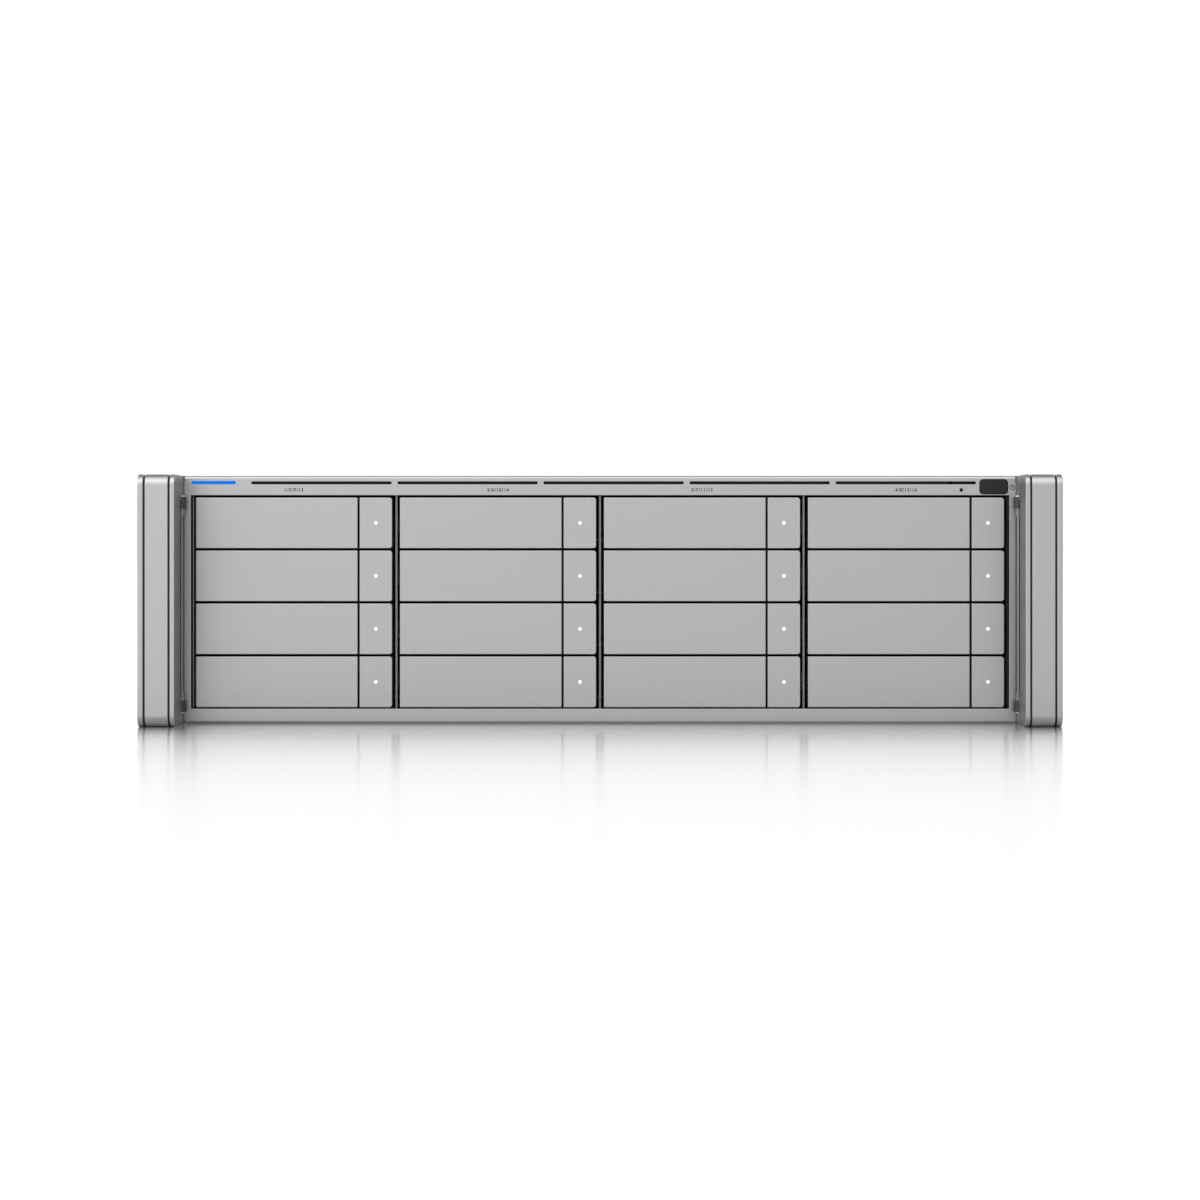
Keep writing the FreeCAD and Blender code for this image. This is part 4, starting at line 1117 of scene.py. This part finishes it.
def floor_material():
    """A white floor: it keeps the soft shadow, and mirrors the front less and less with distance."""
    material = bpy.data.materials.new("white_floor")
    material.use_nodes = True
    tree = material.node_tree
    tree.nodes.remove(tree.nodes["Principled BSDF"])
    place = tree.nodes.new("ShaderNodeTexCoord").outputs["Object"]
    seen = tree.nodes.new("ShaderNodeLightPath").outputs["Is Camera Ray"]
    parts = along_axes(tree, place)

    distance = calculate(tree, "MULTIPLY_ADD", parts["Y"], MIRROR_FALL, -MIRROR_FALL * MIRROR_START)
    share = calculate(tree, "MINIMUM", calculate(tree, "EXPONENT", distance), MIRROR_MOST)
    in_front = ramp(tree, parts["Y"], *MIRROR_EDGE)
    width = ramp(tree, calculate(tree, "ABSOLUTE", parts["X"]), *MIRROR_SIDES)
    near = ramp(tree, parts["Y"], *MIRROR_NEAR_END)
    before_front = product(tree, in_front, width, near)
    glance = tree.nodes.new("ShaderNodeLayerWeight")
    feed(tree, glance.inputs["Blend"], 0.5)
    level_view = product(tree, ramp(tree, glance.outputs["Facing"], *GRAZING_VIEW), seen)

    white = tree.nodes.new("ShaderNodeBsdfDiffuse")
    feed(tree, white.inputs["Color"], floor_tone(tree, place, seen))
    lift = tree.nodes.new("ShaderNodeEmission")
    elsewhere = calculate(tree, "SUBTRACT", 1.0, before_front)
    extra = product(tree, elsewhere, level_view, GRAZING_LIFT)
    feed(tree, lift.inputs["Strength"], calculate(tree, "MULTIPLY_ADD", seen, FLOOR_LIFT, extra))
    lit = tree.nodes.new("ShaderNodeAddShader")
    feed(tree, lit.inputs[0], white.outputs["BSDF"])
    feed(tree, lit.inputs[1], lift.outputs["Emission"])
    mirror = tree.nodes.new("ShaderNodeBsdfAnisotropic")
    feed(tree, mirror.inputs["Color"], grey(1.0))
    feed(tree, mirror.inputs["Roughness"], MIRROR_ROUGHNESS)
    mix = tree.nodes.new("ShaderNodeMixShader")
    feed(tree, mix.inputs["Fac"], product(tree, share, before_front, level_view))
    feed(tree, mix.inputs[1], lit.outputs["Shader"])
    feed(tree, mix.inputs[2], mirror.outputs["BSDF"])
    feed(tree, tree.nodes["Material Output"].inputs["Surface"], mix.outputs["Shader"])
    return material


def floor():
    """The flat ground that the part stands on."""
    mesh = bpy.data.meshes.new("floor")
    corners = rectangle((-FLOOR_HALF, FLOOR_HALF), (-FLOOR_HALF, FLOOR_HALF))
    mesh.from_pydata([(x, y, 0) for x, y in corners], [], [(0, 1, 2, 3)])
    ground = bpy.data.objects.new("floor", mesh)
    bpy.context.scene.collection.objects.link(ground)
    mesh.materials.append(floor_material())


# Studio: levels of light, and the parts of a direction between which they change

STUDIO = (1.57, 0.37)
STUDIO_X = (-0.5, 0.5)
BEHIND = 1.0
BEHIND_Y = (-0.25, 0.3)
OVER_AND_BEHIND = 0.05
OVERHEAD = (0.46, 0.7)
SOFTBOX = (0.05, 0.85)
SOFTBOX_X = (-0.15, 0.15)
SOFTBOX_Y = (-0.05, -0.25)
SOFTBOX_Z = (0.42, 0.62)
BACKDROP = 1.15
BACKDROP_Y = (0.8, 0.9)
BACKDROP_Z = (0.3, 0.15)
EVEN_LIGHT = 1.0


def sky():
    """White behind the object and for the camera; a soft grey studio in front, brighter at the left."""
    world = bpy.data.worlds.new("studio")
    bpy.context.scene.world = world
    world.use_nodes = True
    tree = world.node_tree
    place = tree.nodes.new("ShaderNodeTexCoord")
    parts = along_axes(tree, place.outputs["Generated"])
    rays = tree.nodes.new("ShaderNodeLightPath").outputs

    front = ramp(tree, parts["X"], *STUDIO_X, *STUDIO)
    rear = ramp(tree, parts["Z"], *OVERHEAD, BEHIND, OVER_AND_BEHIND)
    level = blend(tree, ramp(tree, parts["Y"], *BEHIND_Y), front, rear)
    rise = ramp(tree, parts["Z"], *SOFTBOX_Z, interpolation="SMOOTHSTEP")
    softbox = product(tree, rise, ramp(tree, parts["Y"], *SOFTBOX_Y))
    glow = ramp(tree, parts["X"], *SOFTBOX_X, *SOFTBOX)
    total = calculate(tree, "MULTIPLY_ADD", softbox, glow, level)
    backdrop = product(tree, ramp(tree, parts["Z"], *BACKDROP_Z), ramp(tree, parts["Y"], *BACKDROP_Y))
    in_metal = blend(tree, backdrop, total, BACKDROP)
    strength = blend(tree, rays["Is Diffuse Ray"], in_metal, EVEN_LIGHT)

    studio = tree.nodes["Background"]
    feed(tree, studio.inputs["Color"], grey(1.0))
    feed(tree, studio.inputs["Strength"], strength)
    white = tree.nodes.new("ShaderNodeBackground")
    feed(tree, white.inputs["Color"], grey(1.0))
    mix = tree.nodes.new("ShaderNodeMixShader")
    feed(tree, mix.inputs["Fac"], rays["Is Camera Ray"])
    feed(tree, mix.inputs[1], studio.outputs["Background"])
    feed(tree, mix.inputs[2], white.outputs["Background"])
    feed(tree, tree.nodes["World Output"].inputs["Surface"], mix.outputs["Shader"])


# Lamps and camera, in metres

CAMERA_LENS = 91.3
CAMERA_SENSOR = 36.0
CAMERA_DISTANCE = 1.586
CAMERA_HEIGHT = 0.0877
CAMERA_FAR_END = 100.0
PHOTO_SIDE = 1200.0
PHOTO_SHIFT = -41.0


def lamp(name, place, target, size, power, in_metal=True):
    """A square lamp that points at a target, and may stay out of the metal's reflections."""
    light = bpy.data.lights.new(name, "AREA")
    light.energy = power
    light.size = size
    holder = bpy.data.objects.new(name, light)
    holder.location = place
    direction = Vector(target) - Vector(place)
    holder.rotation_mode = "QUATERNION"
    holder.rotation_quaternion = direction.to_track_quat("-Z", "Y")
    holder.visible_glossy = in_metal
    bpy.context.scene.collection.objects.link(holder)


def camera():
    """Level, straight in front of the ear covers, with the frame shifted down to the object."""
    view = bpy.data.cameras.new("camera")
    view.lens = CAMERA_LENS
    view.sensor_width = CAMERA_SENSOR
    view.shift_y = PHOTO_SHIFT / PHOTO_SIDE
    view.clip_end = CAMERA_FAR_END
    holder = bpy.data.objects.new("camera", view)
    holder.location = (0.0, EAR_FRONT_Y * MM - CAMERA_DISTANCE, CAMERA_HEIGHT)
    holder.rotation_euler = (math.radians(90.0), 0.0, 0.0)
    bpy.context.scene.collection.objects.link(holder)
    bpy.context.scene.camera = holder


floor()
sky()
lamp("key_light", place=(-1.6, -2.2, 2.4), target=(0.0, 0.0, 0.05), size=1.6, power=12.0)
lamp("top_light", place=(0.0, 0.6, 2.6), target=(0.0, 0.0, 0.0), size=2.2, power=14.0, in_metal=False)
camera()
bpy.context.scene.view_settings.view_transform = "Standard"
